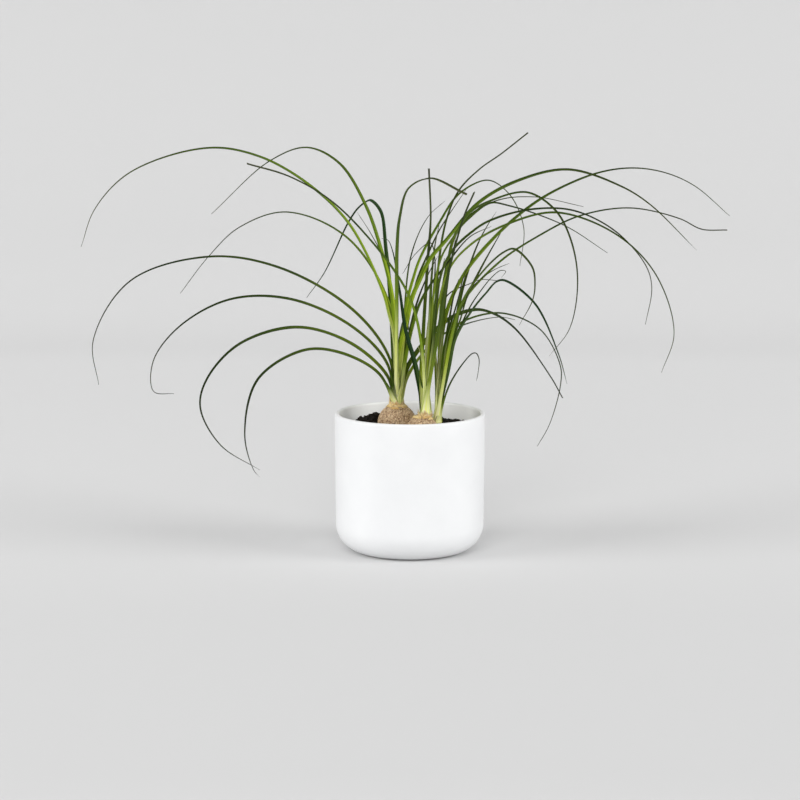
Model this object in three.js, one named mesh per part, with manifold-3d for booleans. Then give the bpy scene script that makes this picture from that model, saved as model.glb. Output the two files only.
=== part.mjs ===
// A potted ponytail palm: two young plants in a white glazed pot, the right one with a side shoot.
// Millimetres, +Z up. The origin is the centre of the pot's flat base, and +X runs to the right of
// the front view.
import * as THREE from 'three';
import { mergeVertices } from 'three/addons/utils/BufferGeometryUtils.js';
import Module from 'manifold-3d';

const wasm = await Module();
wasm.setup();

// Pot
const POT_HEIGHT = 158.5;
const RIM_RADIUS = 85;
const WALL = 5;
const SIDE_DRAFT = 1;
const FOOT_ROUNDING = 32;
const POT_FLOOR = 6;
const INSIDE_STEPS = 4;
const POT_SIDES = 56;

// Fits between pieces that touch
const GAP = 0.3;
const SOIL_FIT = 0.5;
const SLIVER = 0.04;

// Soil
const SOIL_TOP = POT_HEIGHT - 18.5;
const SOIL_SIDES = 48;
const SOIL_RINGS = [0.96, 0.8, 0.63, 0.46, 0.3, 0.15];
const DRAFT_AT_SOIL = 0.6;
const LUMP_HEIGHT = 2.2;
const HEAP = { x: -40, y: 24, height: 13, spread: 19 };

// Waves of the soil's lumps, in radians a mm: two crossing ones, and a lower slanting one
const LUMP_ACROSS = { pitch: 0.61, start: 1.3 };
const LUMP_ALONG = { pitch: 0.53, start: 0.4 };
const LUMP_SLANT = { share: 0.6, across: 0.27, along: -0.33 };

// Bulbs: outline points are [radius, height], from the buried foot to the flat neck top
const LEFT_BULB = {
  x: -14.5,
  y: 10,
  sides: 30,
  outline: [
    [9, 112], [17, 118], [21, 128], [22.3, 138], [22.2, 146], [20.2, 154], [16, 160], [10.2, 164.6],
    [8.2, 166],
  ],
};
const RIGHT_BULB = {
  x: 13.7,
  y: -19,
  sides: 26,
  outline: [
    [7, 118], [13, 123], [16.4, 131], [17.4, 140], [16.8, 147.5], [13.4, 153], [9.4, 156.6], [8, 158],
  ],
};
const SIDE_BULB = {
  x: 30.5,
  y: -5,
  sides: 20,
  outline: [[4, 121], [7.4, 125], [9.4, 133], [9.2, 140], [7.4, 145], [6.2, 147]],
};
const BULB_HOLE_TOP = POT_HEIGHT * 1.2;

// Dents of the cork, from a little under the soil up to the neck: waves round a bulb, and up it in
// radians a mm
const BARK_RELIEF = 0.9;
const BARK_START = SOIL_TOP - 8;
const NECK_MARGIN = 0.5;
const BARK_WAVES = [
  { around: 5, up: 0.5, share: 0.3 },
  { around: 9, up: -0.9, share: 0.2 },
];

// Scales round a neck. Each leans out by a few degrees, and its height and place vary by the spreads.
const SCALE_COUNT = 9;
const SCALE_HEIGHT = 5.5;
const SCALE_THICKNESS = 0.9;
const SCALE_ROOT = 3;
const SCALE_SPREAD = { bearing: 0.25, least: 0.55, height: 0.6 };
const SCALE_LEAN = { least: 8, spread: 10 };

// Leaf heads: where each neck stands on its bulb, and how many young and rear leaves it has
const LEFT_HEAD = { x: -15, y: 10, z: 166 + GAP, radius: 7.1, height: 17, young: 3, rear: 2 };
const RIGHT_HEAD = { x: 17, y: -19, z: 158 + GAP, radius: 6.9, height: 17, young: 5, rear: 0 };
const SIDE_HEAD = { x: 31, y: -4.5, z: 147 + GAP, radius: 5.3, height: 15, young: 3, rear: 0 };

// Leaf routes are laid out in the front view, seen from a little above and some way off.
// A point is [across, up] in mm: across from the pot's axis, up from a level just under its lip.
const VIEW_LEVEL = 157;
const VIEW_DISTANCE = 3500;
const VIEW_RISE = THREE.MathUtils.degToRad(9.2);
const LEAF_WIDTH = 5.4;
const THIN_LEAF = 3.4;
const WIDE_LEAF = 6.4;
const LEAF_THICKNESS = 1.1;
const TIP_WIDTH = 1.1;
const ROOT_RISE = 3;
const BACKWARD_BEND = 1.4;

// A leaf is widest at its sheath, is even up to where its taper starts, and then narrows to the tip.
// Its channel is deep at the sheath and opens along the rise. It has a ring for each step of length
// or of bend.
const SHEATH = { share: 0.08, spread: 0.45 };
const TAPER = { start: 0.15, loss: 0.92, power: 1.15, cutPower: 2.2, cutLeast: 0.5 };
const CHANNEL = { atRoot: 0.95, opening: 0.45, openAt: 0.3 };
const THINNING = 0.35;
const TURN = { least: 25, spread: 20 };
const ROUTE_SAMPLES = 160;
const FEWEST_STEPS = 5;
const STRAIGHT_STEP = 85;
const BEND_STEP = THREE.MathUtils.degToRad(21);

// Each leaf has its tip's distance behind the head (negative is in front) and its route. Some have a width of
// their own, or a turn about their own length towards the front in degrees. A cut leaf ends blunt.
const LEFT_LEAVES = [
  {
    back: -110,
    route: [
      [-26, 67], [-68, 119], [-147, 164], [-226, 177], [-316, 150], [-358, 83], [-352, 33],
    ],
  },
  {
    back: -160,
    route: [
      [-28, 59], [-68, 99], [-136, 129], [-203, 129], [-260, 99], [-290, 60], [-290, 26], [-267, 23],
    ],
  },
  {
    back: -200,
    route: [
      [-26, 42], [-68, 79], [-128, 97], [-192, 79], [-229, 40], [-237, 8], [-215, -34], [-170, -63],
    ],
  },
  {
    back: -230,
    route: [
      [-37, 46], [-79, 68], [-120, 71], [-172, 39], [-187, -22], [-177, -63], [-170, -71],
    ],
  },
  {
    back: -90, width: WIDE_LEAF,
    route: [
      [-20, 92], [-25, 113], [-31, 136], [-68, 212], [-113, 257], [-170, 290], [-229, 300], [-316, 273],
      [-356, 232], [-372, 189],
    ],
  },
  {
    back: 230, width: THIN_LEAF,
    route: [
      [-21, 117], [-68, 196], [-138, 227], [-192, 210], [-226, 178], [-259, 135],
    ],
  },
  {
    back: 170,
    route: [
      [-19, 128], [-32, 185], [-49, 234], [-79, 282], [-116, 300], [-158, 285], [-224, 225],
    ],
  },
  {
    back: 260, width: WIDE_LEAF,
    route: [
      [-20, 117], [-26, 185], [-32, 228], [-44, 240], [-55, 234], [-67, 218], [-96, 158], [-116, 130],
    ],
  },
  { back: -120, route: [[-14, 128], [-14, 185], [-11, 222], [-1, 255], [23, 266], [64, 248]] },
  { back: 200, width: THIN_LEAF, route: [[-20, 117], [-28, 171], [-43, 202], [-59, 227]] },
  {
    back: 190, width: 4.2,
    route: [
      [-8, 77], [-3, 125], [5, 155], [12, 175], [34, 216], [56, 248], [89, 263], [113, 247],
      [129, 210], [125, 166],
    ],
  },
  { back: 120, width: 4.4, route: [[-7, 77], [0, 117], [9, 153], [20, 179], [34, 208], [66, 256]] },
  { back: 260, width: THIN_LEAF, route: [[-8, 94], [1, 176], [20, 220], [41, 240]] },
  {
    back: -60, width: WIDE_LEAF, turn: 75,
    route: [
      [-9, 32], [-3, 66], [3, 94], [12, 124], [23, 144], [42, 169], [68, 200], [92, 212],
    ],
  },
  { back: 220, route: [[-1, 55], [40, 103], [72, 116], [94, 112], [119, 95], [160, 40], [173, 17]] },
  {
    back: 260, width: THIN_LEAF,
    route: [
      [-5, 38], [12, 64], [34, 86], [60, 99], [102, 108], [120, 105],
    ],
  },
  {
    back: -110, width: WIDE_LEAF, turn: 70,
    route: [
      [-9, 77], [-2, 106], [4, 132], [13, 153], [24, 175], [42, 196], [79, 239], [124, 264],
      [179, 276], [237, 258], [271, 237], [324, 185],
    ],
  },
  { back: 60, turn: 60, route: [[-9, 40], [-4, 75], [1, 100], [6, 120], [13, 140], [22, 160], [32, 178]] },
];
const RIGHT_LEAVES = [
  {
    back: -150, cut: true,
    route: [
      [12, 77], [2, 123], [-11, 150], [-45, 196], [-90, 241], [-136, 268], [-185, 283],
    ],
  },
  {
    back: 40, width: WIDE_LEAF,
    route: [
      [5, 58], [-5, 94], [-12, 140], [-20, 185], [-25, 196], [-32, 198],
    ],
  },
  { back: 70, cut: true, route: [[12, 40], [14, 90], [17, 138], [20, 180], [23, 220], [21, 277]] },
  { back: 45, route: [[18, 30], [20, 70], [22, 110], [23, 140], [25, 165], [28, 190], [34, 218]] },
  { back: -50, route: [[22, 30], [26, 65], [29, 95], [31, 122], [34, 150], [39, 176]] },
  { back: -110, cut: true, width: WIDE_LEAF, route: [[32, 83], [45, 162], [61, 222], [73, 251]] },
  {
    back: -150,
    route: [
      [34, 171], [51, 202], [68, 227], [90, 240], [132, 250], [164, 230], [182, 195], [189, 149],
      [180, 97], [157, 66],
    ],
  },
  {
    back: -60,
    route: [
      [41, 171], [73, 207], [96, 220], [141, 231], [186, 229], [232, 206], [266, 168], [273, 143],
      [266, 101],
    ],
  },
  {
    back: -120, width: 5.4,
    route: [
      [42, 157], [68, 190], [113, 215], [166, 227], [232, 203], [277, 158], [298, 92], [284, 47],
    ],
  },
  { back: 95, width: THIN_LEAF, route: [[25, 120], [28, 175], [23, 193], [6, 180], [-8, 158]] },
];
const SIDE_LEAVES = [
  {
    back: 170, width: THIN_LEAF,
    route: [
      [28, 106], [35, 190], [44, 228], [56, 253], [79, 276], [102, 292], [134, 317],
    ],
  },
  { back: 200, route: [[40, 150], [51, 202], [68, 222], [90, 237], [113, 234], [175, 212], [224, 181]] },
  { back: 280, width: THIN_LEAF, route: [[38, 150], [60, 215], [96, 239], [141, 244], [197, 233]] },
  {
    back: 120,
    route: [
      [40, 106], [60, 154], [85, 187], [121, 222], [158, 248], [211, 271], [251, 277], [288, 272],
      [322, 257], [362, 223],
    ],
  },
  {
    back: 60, width: THIN_LEAF,
    route: [
      [46, 90], [62, 128], [102, 171], [147, 201], [192, 223], [249, 232], [305, 220], [330, 208],
      [359, 207],
    ],
  },
  {
    back: -200,
    route: [
      [57, 119], [77, 154], [105, 182], [118, 186], [138, 166], [141, 146], [138, 128], [123, 101],
    ],
  },
  {
    back: -90,
    route: [
      [46, 70], [60, 104], [70, 124], [80, 139], [92, 154], [102, 162], [108, 161], [103, 154],
    ],
  },
  {
    back: -170, width: WIDE_LEAF,
    route: [
      [45, 49], [53, 86], [73, 120], [87, 137], [98, 149], [107, 150], [141, 124], [168, 66],
      [177, 34],
    ],
  },
  {
    back: 230, width: THIN_LEAF,
    route: [
      [51, 94], [60, 103], [102, 113], [147, 95], [170, 55], [171, 34], [159, -12], [145, -38],
    ],
  },
  {
    back: -60, width: THIN_LEAF,
    route: [
      [45, 32], [62, 59], [71, 68], [75, 68], [78, 62], [77, 47], [75, 37],
    ],
  },
  { back: 90, route: [[47, 94], [68, 140], [84, 171], [108, 213]] },
  {
    back: 40, width: THIN_LEAF,
    route: [
      [36, 110], [41, 132], [51, 140], [66, 146], [79, 151], [102, 150],
    ],
  },
  { back: 60, route: [[51, 94], [58, 134], [68, 168], [79, 196], [90, 216], [98, 228]] },
  { back: 10, route: [[33, 10], [36, 45], [41, 78], [45, 105], [49, 128], [55, 152]] },
  { back: 30, route: [[32, 20], [34, 60], [36, 95], [39, 125], [44, 160], [52, 200]] },
  {
    back: -50, turn: 70,
    route: [
      [36, 40], [40, 75], [47, 102], [52, 119], [56, 134], [60, 152], [71, 178],
    ],
  },
  {
    back: -40, width: 4.6, turn: 60,
    route: [
      [40, 40], [50, 84], [58, 108], [63, 126], [68, 139], [80, 152], [96, 163], [112, 170],
    ],
  },
];

// Young leaves stand up in the middle of a head, by a rule. Rear leaves arch straight back behind it.
// A shape's points are [out, up] as shares of the leaf's reach and rise.
const GOLDEN_ANGLE = THREE.MathUtils.degToRad(137.5);
const YOUNG = {
  shape: [[0.04, 0.22], [0.18, 0.52], [0.5, 0.8], [1, 1]],
  bearingSpread: 0.55,
  rise: { least: 70, spread: 35 },
  reach: { least: 4, spread: 5 },
  width: LEAF_WIDTH * 0.9,
};
const REAR = {
  shape: [[0.02, 0.12], [0.1, 0.5], [0.28, 0.86], [0.52, 1], [0.8, 0.74], [1, 0.35]],
  bearing: THREE.MathUtils.degToRad(88),
  bearingStep: 0.1,
  rise: { least: 72, spread: 15 },
  reach: { first: 210, step: 60 },
  turn: 10,
};

// A repeatable stream of draws between 0 and 1
function seededDraws(seed) {
  let state = seed;
  return () => {
    state = (state * 1664525 + 1013904223) % 4294967296;
    return state / 4294967296;
  };
}

// Closed mesh to solid and back
function toSolid(geometry) {
  geometry.deleteAttribute('normal');
  geometry.deleteAttribute('uv');
  const merged = mergeVertices(geometry, 1e-4);
  const mesh = new wasm.Mesh({
    numProp: 3,
    vertProperties: new Float32Array(merged.attributes.position.array),
    triVerts: new Uint32Array(merged.index.array),
  });
  mesh.merge();
  return new wasm.Manifold(mesh);
}

function toGeometry(solid) {
  const mesh = solid.getMesh();
  const geometry = new THREE.BufferGeometry();
  geometry.setAttribute('position', new THREE.BufferAttribute(new Float32Array(mesh.vertProperties), 3));
  geometry.setIndex(new THREE.BufferAttribute(new Uint32Array(mesh.triVerts), 1));
  geometry.computeVertexNormals();
  return geometry;
}

// Solids joined in one body, as one surface so that the slivers between them go too, without hollows or scraps
function fused(solids) {
  const bodies = wasm.Manifold.union(solids).asOriginal().simplify(SLIVER).decompose();
  return bodies.reduce((largest, body) => (body.volume() > largest.volume() ? body : largest));
}

// A solid of revolution about +Z from [radius, height] points that start and end on the axis
function turned(points, sides) {
  const profile = points.map(([radius, height]) => new THREE.Vector2(radius, height));
  const geometry = new THREE.LatheGeometry(profile, sides);
  geometry.rotateX(Math.PI / 2);
  return geometry;
}

// Points on a round corner, in a turned profile
function roundCorner(centreRadius, centreHeight, radius, fromDegrees, toDegrees, steps) {
  const points = [];
  for (let i = 0; i <= steps; i++) {
    const angle = THREE.MathUtils.degToRad(fromDegrees + ((toDegrees - fromDegrees) * i) / steps);
    points.push([centreRadius + radius * Math.cos(angle), centreHeight + radius * Math.sin(angle)]);
  }
  return points;
}

function makePot() {
  const lip = WALL / 2;
  const sideRadius = RIM_RADIUS - SIDE_DRAFT;
  const inside = FOOT_ROUNDING - WALL;
  const cornerRadius = sideRadius - FOOT_ROUNDING;
  const profile = [
    [0, 0],
    ...roundCorner(cornerRadius, FOOT_ROUNDING, FOOT_ROUNDING, -90, 0, 6),
    ...roundCorner(RIM_RADIUS - lip, POT_HEIGHT - lip, lip, 0, 180, 4),
    ...roundCorner(cornerRadius, POT_FLOOR + inside, inside, 0, -90, INSIDE_STEPS),
    [0, POT_FLOOR],
  ];
  return toSolid(turned(profile, POT_SIDES));
}

// Height of the soil's top: small lumps, and a heap beside the left bulb
function soilHeight(x, y) {
  const across = Math.sin(x * LUMP_ACROSS.pitch + LUMP_ACROSS.start);
  const along = Math.sin(y * LUMP_ALONG.pitch + LUMP_ALONG.start);
  const slant = LUMP_SLANT.share * Math.sin(x * LUMP_SLANT.across + y * LUMP_SLANT.along);
  const distance = Math.hypot(x - HEAP.x, y - HEAP.y);
  const heap = HEAP.height * Math.exp(-((distance / HEAP.spread) ** 2));
  return SOIL_TOP + (LUMP_HEIGHT / 2) * (across * along + slant) + heap;
}

function makeSoil(holes) {
  const inside = FOOT_ROUNDING - WALL;
  const cornerRadius = RIM_RADIUS - SIDE_DRAFT - FOOT_ROUNDING;
  const edge = cornerRadius + inside + SIDE_DRAFT * DRAFT_AT_SOIL - GAP;
  const profile = [
    [0, POT_FLOOR + GAP],
    ...roundCorner(cornerRadius, POT_FLOOR + inside, inside - GAP, -90, 0, INSIDE_STEPS),
    [edge, SOIL_TOP - LUMP_HEIGHT],
    ...SOIL_RINGS.map((share) => [edge * share, SOIL_TOP]),
    [0, SOIL_TOP],
  ];
  const geometry = turned(profile, SOIL_SIDES);
  const place = geometry.attributes.position;
  for (let i = 0; i < place.count; i++) {
    if (place.getZ(i) > SOIL_TOP - 0.1) {
      place.setZ(i, soilHeight(place.getX(i), place.getY(i)));
    }
  }
  return holes.reduce((soil, hole) => soil.subtract(hole), toSolid(geometry));
}

// The plain hole that a bulb leaves in the soil, wider than the bulb by its fit
function bulbHole(bulb) {
  const foot = bulb.outline[0];
  const neck = bulb.outline[bulb.outline.length - 1];
  const profile = [
    [0, foot[1] - SOIL_FIT],
    [foot[0] + SOIL_FIT, foot[1] - SOIL_FIT],
    ...bulb.outline.slice(1).map(([radius, height]) => [radius + SOIL_FIT, height]),
    [neck[0] + SOIL_FIT, BULB_HOLE_TOP],
    [0, BULB_HOLE_TOP],
  ];
  const geometry = turned(profile, bulb.sides);
  geometry.translate(bulb.x, bulb.y, 0);
  return toSolid(geometry);
}

// A bulb with the ridges and dents of cork, inside its outline
function corkyBulb(bulb) {
  const last = bulb.outline[bulb.outline.length - 1];
  const geometry = turned([[0, bulb.outline[0][1]], ...bulb.outline, [0, last[1]]], bulb.sides);
  const place = geometry.attributes.position;
  for (let i = 0; i < place.count; i++) {
    const x = place.getX(i);
    const y = place.getY(i);
    const z = place.getZ(i);
    const radius = Math.hypot(x, y);
    if (radius > last[0] + NECK_MARGIN && z > BARK_START) {
      const bearing = Math.atan2(y, x);
      const waves = BARK_WAVES.map((wave) => wave.share * Math.sin(wave.around * bearing + wave.up * z));
      const dent = waves.reduce((sum, wave) => sum + wave, 0.5);
      const share = 1 - (BARK_RELIEF * dent) / radius;
      place.setX(i, x * share);
      place.setY(i, y * share);
    }
  }
  geometry.translate(bulb.x, bulb.y, 0);
  return toSolid(geometry);
}

// Dry papery scales that stand round a neck, rooted in the bulb's top and pointed at one side or the other
function neckScales(head, seed) {
  const draw = seededDraws(seed);
  const solids = [];
  const inner = head.radius + 2 * GAP;
  const halfWidth = (Math.PI * inner) / SCALE_COUNT;
  for (let i = 0; i < SCALE_COUNT; i++) {
    const bearing = (i / SCALE_COUNT) * 2 * Math.PI + SCALE_SPREAD.bearing * draw();
    const height = SCALE_HEIGHT * (SCALE_SPREAD.least + SCALE_SPREAD.height * draw());
    const shoulder = { across: halfWidth * 0.8, up: height * 0.42 };
    const outline = new THREE.Shape();
    outline.moveTo(-halfWidth, -SCALE_ROOT);
    outline.lineTo(halfWidth, -SCALE_ROOT);
    outline.lineTo(shoulder.across, shoulder.up);
    outline.lineTo((draw() - 0.5) * halfWidth, height);
    outline.lineTo(-shoulder.across, shoulder.up);
    const geometry = new THREE.ExtrudeGeometry(outline, { depth: SCALE_THICKNESS, bevelEnabled: false });
    geometry.rotateX(Math.PI / 2);
    geometry.rotateX(THREE.MathUtils.degToRad(SCALE_LEAN.least + SCALE_LEAN.spread * draw()));
    geometry.translate(0, -inner - SCALE_THICKNESS * 0.2, 0);
    geometry.rotateZ(bearing);
    geometry.translate(head.x, head.y, head.z - GAP);
    solids.push(toSolid(geometry));
  }
  return solids;
}

// A front-view point at a depth behind the pot's axis, as a place in space
function fromFrontView(across, up, back) {
  const scale = 1 + (back - up * Math.sin(VIEW_RISE)) / VIEW_DISTANCE;
  const height = VIEW_LEVEL + (up * scale - back * Math.sin(VIEW_RISE)) / Math.cos(VIEW_RISE);
  return new THREE.Vector3(across * scale, back, height);
}

// The front-view point of a place in space
function toFrontView(place) {
  const scale = 1 + place.y / VIEW_DISTANCE;
  const up = ((place.z - VIEW_LEVEL) * Math.cos(VIEW_RISE) + place.y * Math.sin(VIEW_RISE)) / scale;
  return [place.x / scale, up];
}

// The smooth route of a leaf that is laid out in the front view
function frontRoute(head, leaf) {
  const root = new THREE.Vector3(head.x, head.y, head.z + ROOT_RISE);
  const seen = [toFrontView(root), ...leaf.route];
  const lengths = [0];
  for (let i = 1; i < seen.length; i++) {
    lengths.push(lengths[i - 1] + Math.hypot(seen[i][0] - seen[i - 1][0], seen[i][1] - seen[i - 1][1]));
  }
  const total = lengths[lengths.length - 1];
  const places = seen.map(([across, up], i) => {
    const back = head.y + leaf.back * (lengths[i] / total) ** BACKWARD_BEND;
    return fromFrontView(across, up, back);
  });
  return new THREE.CatmullRomCurve3(places, false, 'centripetal');
}

// The route of a leaf that follows the rule, on one bearing, from its shape as shares of its reach and rise
function ruledRoute(head, bearing, shape, rise, reach) {
  const root = new THREE.Vector3(head.x, head.y, head.z + ROOT_RISE);
  const places = shape.map(([out, up]) => {
    const away = new THREE.Vector3(Math.cos(bearing), Math.sin(bearing), 0).multiplyScalar(reach * out);
    return root.clone().add(away).setZ(root.z + rise * up);
  });
  return new THREE.CatmullRomCurve3([root, ...places], false, 'centripetal');
}

// A leaf's width along its length: wide at the sheath, even through the rise, then drawn out to the tip
function widthAt(share, width, cut) {
  const sheath = 1 + SHEATH.spread * Math.max(0, 1 - share / SHEATH.share);
  const drawn = Math.max(0, (share - TAPER.start) / (1 - TAPER.start));
  const taper = 1 - TAPER.loss * drawn ** (cut ? TAPER.cutPower : TAPER.power);
  return Math.max(width * sheath * Math.max(taper, cut ? TAPER.cutLeast : 0), TIP_WIDTH);
}

// Shares of a route at which a leaf has its rings, closer together where it bends
function ringShares(route) {
  const sampleLength = route.getLength() / ROUTE_SAMPLES;
  const walked = [0];
  let before = route.getTangentAt(0);
  for (let i = 1; i <= ROUTE_SAMPLES; i++) {
    const along = route.getTangentAt(i / ROUTE_SAMPLES);
    walked.push(walked[i - 1] + sampleLength / STRAIGHT_STEP + before.angleTo(along) / BEND_STEP);
    before = along;
  }
  const total = walked[ROUTE_SAMPLES];
  const steps = Math.max(FEWEST_STEPS, Math.round(total));
  const shares = [0];
  for (let step = 1; step < steps; step++) {
    const sample = walked.findIndex((amount) => amount >= (total * step) / steps);
    shares.push(sample / ROUTE_SAMPLES);
  }
  return [...shares, 1];
}

// A channelled, keeled leaf along a route
function makeLeaf(route, width, turn, cut) {
  const start = route.getPointAt(0);
  const middle = route.getPointAt(0.5);
  const bearing = new THREE.Vector3(middle.x - start.x, middle.y - start.y, 0).normalize();
  const side = new THREE.Vector3(0, 0, 1).cross(bearing);
  const turnAngle = THREE.MathUtils.degToRad(turn) * (bearing.x < 0 ? -1 : 1);
  const corners = [];
  for (const share of ringShares(route)) {
    const place = route.getPointAt(share);
    const along = route.getTangentAt(share);
    const face = along.clone().cross(side).normalize().applyAxisAngle(along, turnAngle);
    const across = face.clone().cross(along);
    const half = widthAt(share, width, cut) / 2;
    const channel = half * (CHANNEL.atRoot - CHANNEL.opening * Math.min(share / CHANNEL.openAt, 1));
    const thickness = LEAF_THICKNESS * (1 - THINNING * share);
    corners.push(place.clone().addScaledVector(across, half).addScaledVector(face, channel));
    corners.push(place.clone().addScaledVector(face, thickness / 2));
    corners.push(place.clone().addScaledVector(across, -half).addScaledVector(face, channel));
    corners.push(place.clone().addScaledVector(face, -thickness / 2));
  }
  return toSolid(skin(corners, 4));
}

// A closed skin over rings of corners that follow each other. The underside, the second half of a ring, is
// split along the same diagonals as the face over it, so that the two faces of a thin, turning blade stay apart.
function skin(corners, ringSize) {
  const positions = corners.flatMap((corner) => [corner.x, corner.y, corner.z]);
  const index = [];
  const rings = corners.length / ringSize;
  for (let ring = 0; ring + 1 < rings; ring++) {
    for (let i = 0; i < ringSize; i++) {
      const here = ring * ringSize + i;
      const next = ring * ringSize + ((i + 1) % ringSize);
      if (i < ringSize / 2) {
        index.push(here, next, next + ringSize, here, next + ringSize, here + ringSize);
      } else {
        index.push(here, next, here + ringSize, next, next + ringSize, here + ringSize);
      }
    }
  }
  const last = (rings - 1) * ringSize;
  index.push(1, 0, 3, 3, 2, 1);
  index.push(last + 1, last + 3, last, last + 3, last + 1, last + 2);
  const geometry = new THREE.BufferGeometry();
  geometry.setAttribute('position', new THREE.Float32BufferAttribute(positions, 3));
  geometry.setIndex(index);
  return geometry;
}

// The sheathed neck that a head's leaves rise from
function makeNeck(head) {
  const points = [
    [0, 0],
    [head.radius, 0],
    [head.radius * 1.02, head.height * 0.5],
    [head.radius * 0.8, head.height * 0.85],
    [0, head.height],
  ];
  const geometry = turned(points, 14);
  geometry.translate(head.x, head.y, head.z);
  return toSolid(geometry);
}

// A head: its neck, the leaves laid out in the front view, and the young and rear leaves of the rule
function makeCrown(head, leaves, seed) {
  const draw = seededDraws(seed);
  const solids = [makeNeck(head)];
  for (const leaf of leaves) {
    const turn = leaf.turn ?? TURN.least + TURN.spread * draw();
    solids.push(makeLeaf(frontRoute(head, leaf), leaf.width ?? LEAF_WIDTH, turn, leaf.cut ?? false));
  }
  for (let i = 0; i < head.young; i++) {
    const bearing = i * GOLDEN_ANGLE + YOUNG.bearingSpread * draw();
    const rise = YOUNG.rise.least + YOUNG.rise.spread * draw();
    const reach = YOUNG.reach.least + YOUNG.reach.spread * draw();
    solids.push(makeLeaf(ruledRoute(head, bearing, YOUNG.shape, rise, reach), YOUNG.width, 0, false));
  }
  for (let i = 0; i < head.rear; i++) {
    const bearing = REAR.bearing + (i - (head.rear - 1) / 2) * REAR.bearingStep;
    const rise = REAR.rise.least + REAR.rise.spread * draw();
    const reach = REAR.reach.first + REAR.reach.step * i;
    solids.push(makeLeaf(ruledRoute(head, bearing, REAR.shape, rise, reach), LEAF_WIDTH, REAR.turn, false));
  }
  return fused(solids);
}

// One colour and finish for each kind of surface
function finish(color, roughness) {
  return new THREE.MeshStandardMaterial({ color, roughness, metalness: 0 });
}

const glaze = finish(0xf2f1ee, 0.35);
const peat = finish(0x15110e, 0.95);
const bark = finish(0xa98660, 0.9);
const leafGreen = finish(0x4f7a24, 0.5);

const plant = new THREE.Group();

function addPiece(name, solid, material) {
  const mesh = new THREE.Mesh(toGeometry(solid), material);
  mesh.name = name;
  plant.add(mesh);
}

const bulbs = [LEFT_BULB, RIGHT_BULB, SIDE_BULB];
const rightBulbs = [corkyBulb(RIGHT_BULB), corkyBulb(SIDE_BULB)];

addPiece('pot', makePot(), glaze);
addPiece('soil', makeSoil(bulbs.map(bulbHole)), peat);
addPiece('left_caudex', fused([corkyBulb(LEFT_BULB), ...neckScales(LEFT_HEAD, 11)]), bark);
addPiece('right_caudex', fused([...rightBulbs, ...neckScales(RIGHT_HEAD, 23)]), bark);
addPiece('left_crown', makeCrown(LEFT_HEAD, LEFT_LEAVES, 3), leafGreen);
addPiece('right_crown', makeCrown(RIGHT_HEAD, RIGHT_LEAVES, 5), leafGreen);
addPiece('side_shoot', makeCrown(SIDE_HEAD, SIDE_LEAVES, 7), leafGreen);

export default plant;
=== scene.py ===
# A potted ponytail palm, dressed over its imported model. Metres, +Z up, -Y towards the front view.
import math

import bmesh
import bpy
import numpy as np
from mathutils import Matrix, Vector, noise


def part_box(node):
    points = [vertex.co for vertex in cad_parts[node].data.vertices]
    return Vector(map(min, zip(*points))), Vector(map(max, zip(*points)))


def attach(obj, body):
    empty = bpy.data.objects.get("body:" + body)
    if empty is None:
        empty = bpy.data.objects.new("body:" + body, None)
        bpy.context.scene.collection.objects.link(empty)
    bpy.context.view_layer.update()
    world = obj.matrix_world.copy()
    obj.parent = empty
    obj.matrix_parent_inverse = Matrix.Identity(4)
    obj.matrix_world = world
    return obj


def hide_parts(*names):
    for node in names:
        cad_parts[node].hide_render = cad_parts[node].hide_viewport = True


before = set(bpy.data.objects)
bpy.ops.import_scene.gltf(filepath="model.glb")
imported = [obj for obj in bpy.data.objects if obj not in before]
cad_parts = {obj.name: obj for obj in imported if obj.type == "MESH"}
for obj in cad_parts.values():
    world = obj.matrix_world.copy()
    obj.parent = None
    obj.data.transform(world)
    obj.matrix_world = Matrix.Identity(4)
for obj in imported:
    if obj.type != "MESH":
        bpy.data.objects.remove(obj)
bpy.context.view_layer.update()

# The noise has offsets of its own, which a seed makes the same on each run.
NOISE_SEED = 7
noise.seed_set(NOISE_SEED)

# Each draw is the last one times a factor, plus a step, within a range.
DRAW_FACTOR = 1664525
DRAW_STEP = 1013904223
DRAW_RANGE = 2 ** 32

# Pot, from the frame and the wall of the model
POT_LOW, POT_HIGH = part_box("pot")
RIM_RADIUS = (POT_HIGH[0] - POT_LOW[0]) / 2
POT_HEIGHT = POT_HIGH[2]
WALL = 0.005
SIDE_DRAFT = 0.001
FOOT_ROUNDING = 0.032
INNER_ROUNDING = FOOT_ROUNDING - WALL
CORNER_RADIUS = RIM_RADIUS - SIDE_DRAFT - FOOT_ROUNDING
POT_FLOOR = 0.006
POT_SIDES = 240
OUTER_STEPS = 26
INNER_STEPS = 18
SIDE_STEPS = 14
LIP_STEPS = 16
GAP = 0.0003

# A turned surface stops this far from its axis, where a small flat face closes it.
POT_AXIS = 0.0004
BULB_AXIS = 0.0003

# Soil: its lumps and its heap are the model's. A pitch is how fast a wave or noise runs over each metre.
SOIL_DROP = 0.0185
SOIL_TOP = POT_HEIGHT - SOIL_DROP
LUMP_HEIGHT = 0.0022
LUMP_ACROSS = {"pitch": 610, "start": 1.3}
LUMP_ALONG = {"pitch": 530, "start": 0.4}
LUMP_SLANT = {"share": 0.6, "x_pitch": 270, "y_pitch": -330}
HEAP_PLACE = (-0.040, 0.024)
HEAP_HEIGHT = 0.0105
HEAP_SPREAD = 0.019
SOIL_FIT = 0.0005
SOIL_RINGS = 116
SOIL_SIDES = 320
SOIL_CORNER_STEPS = 10

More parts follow.
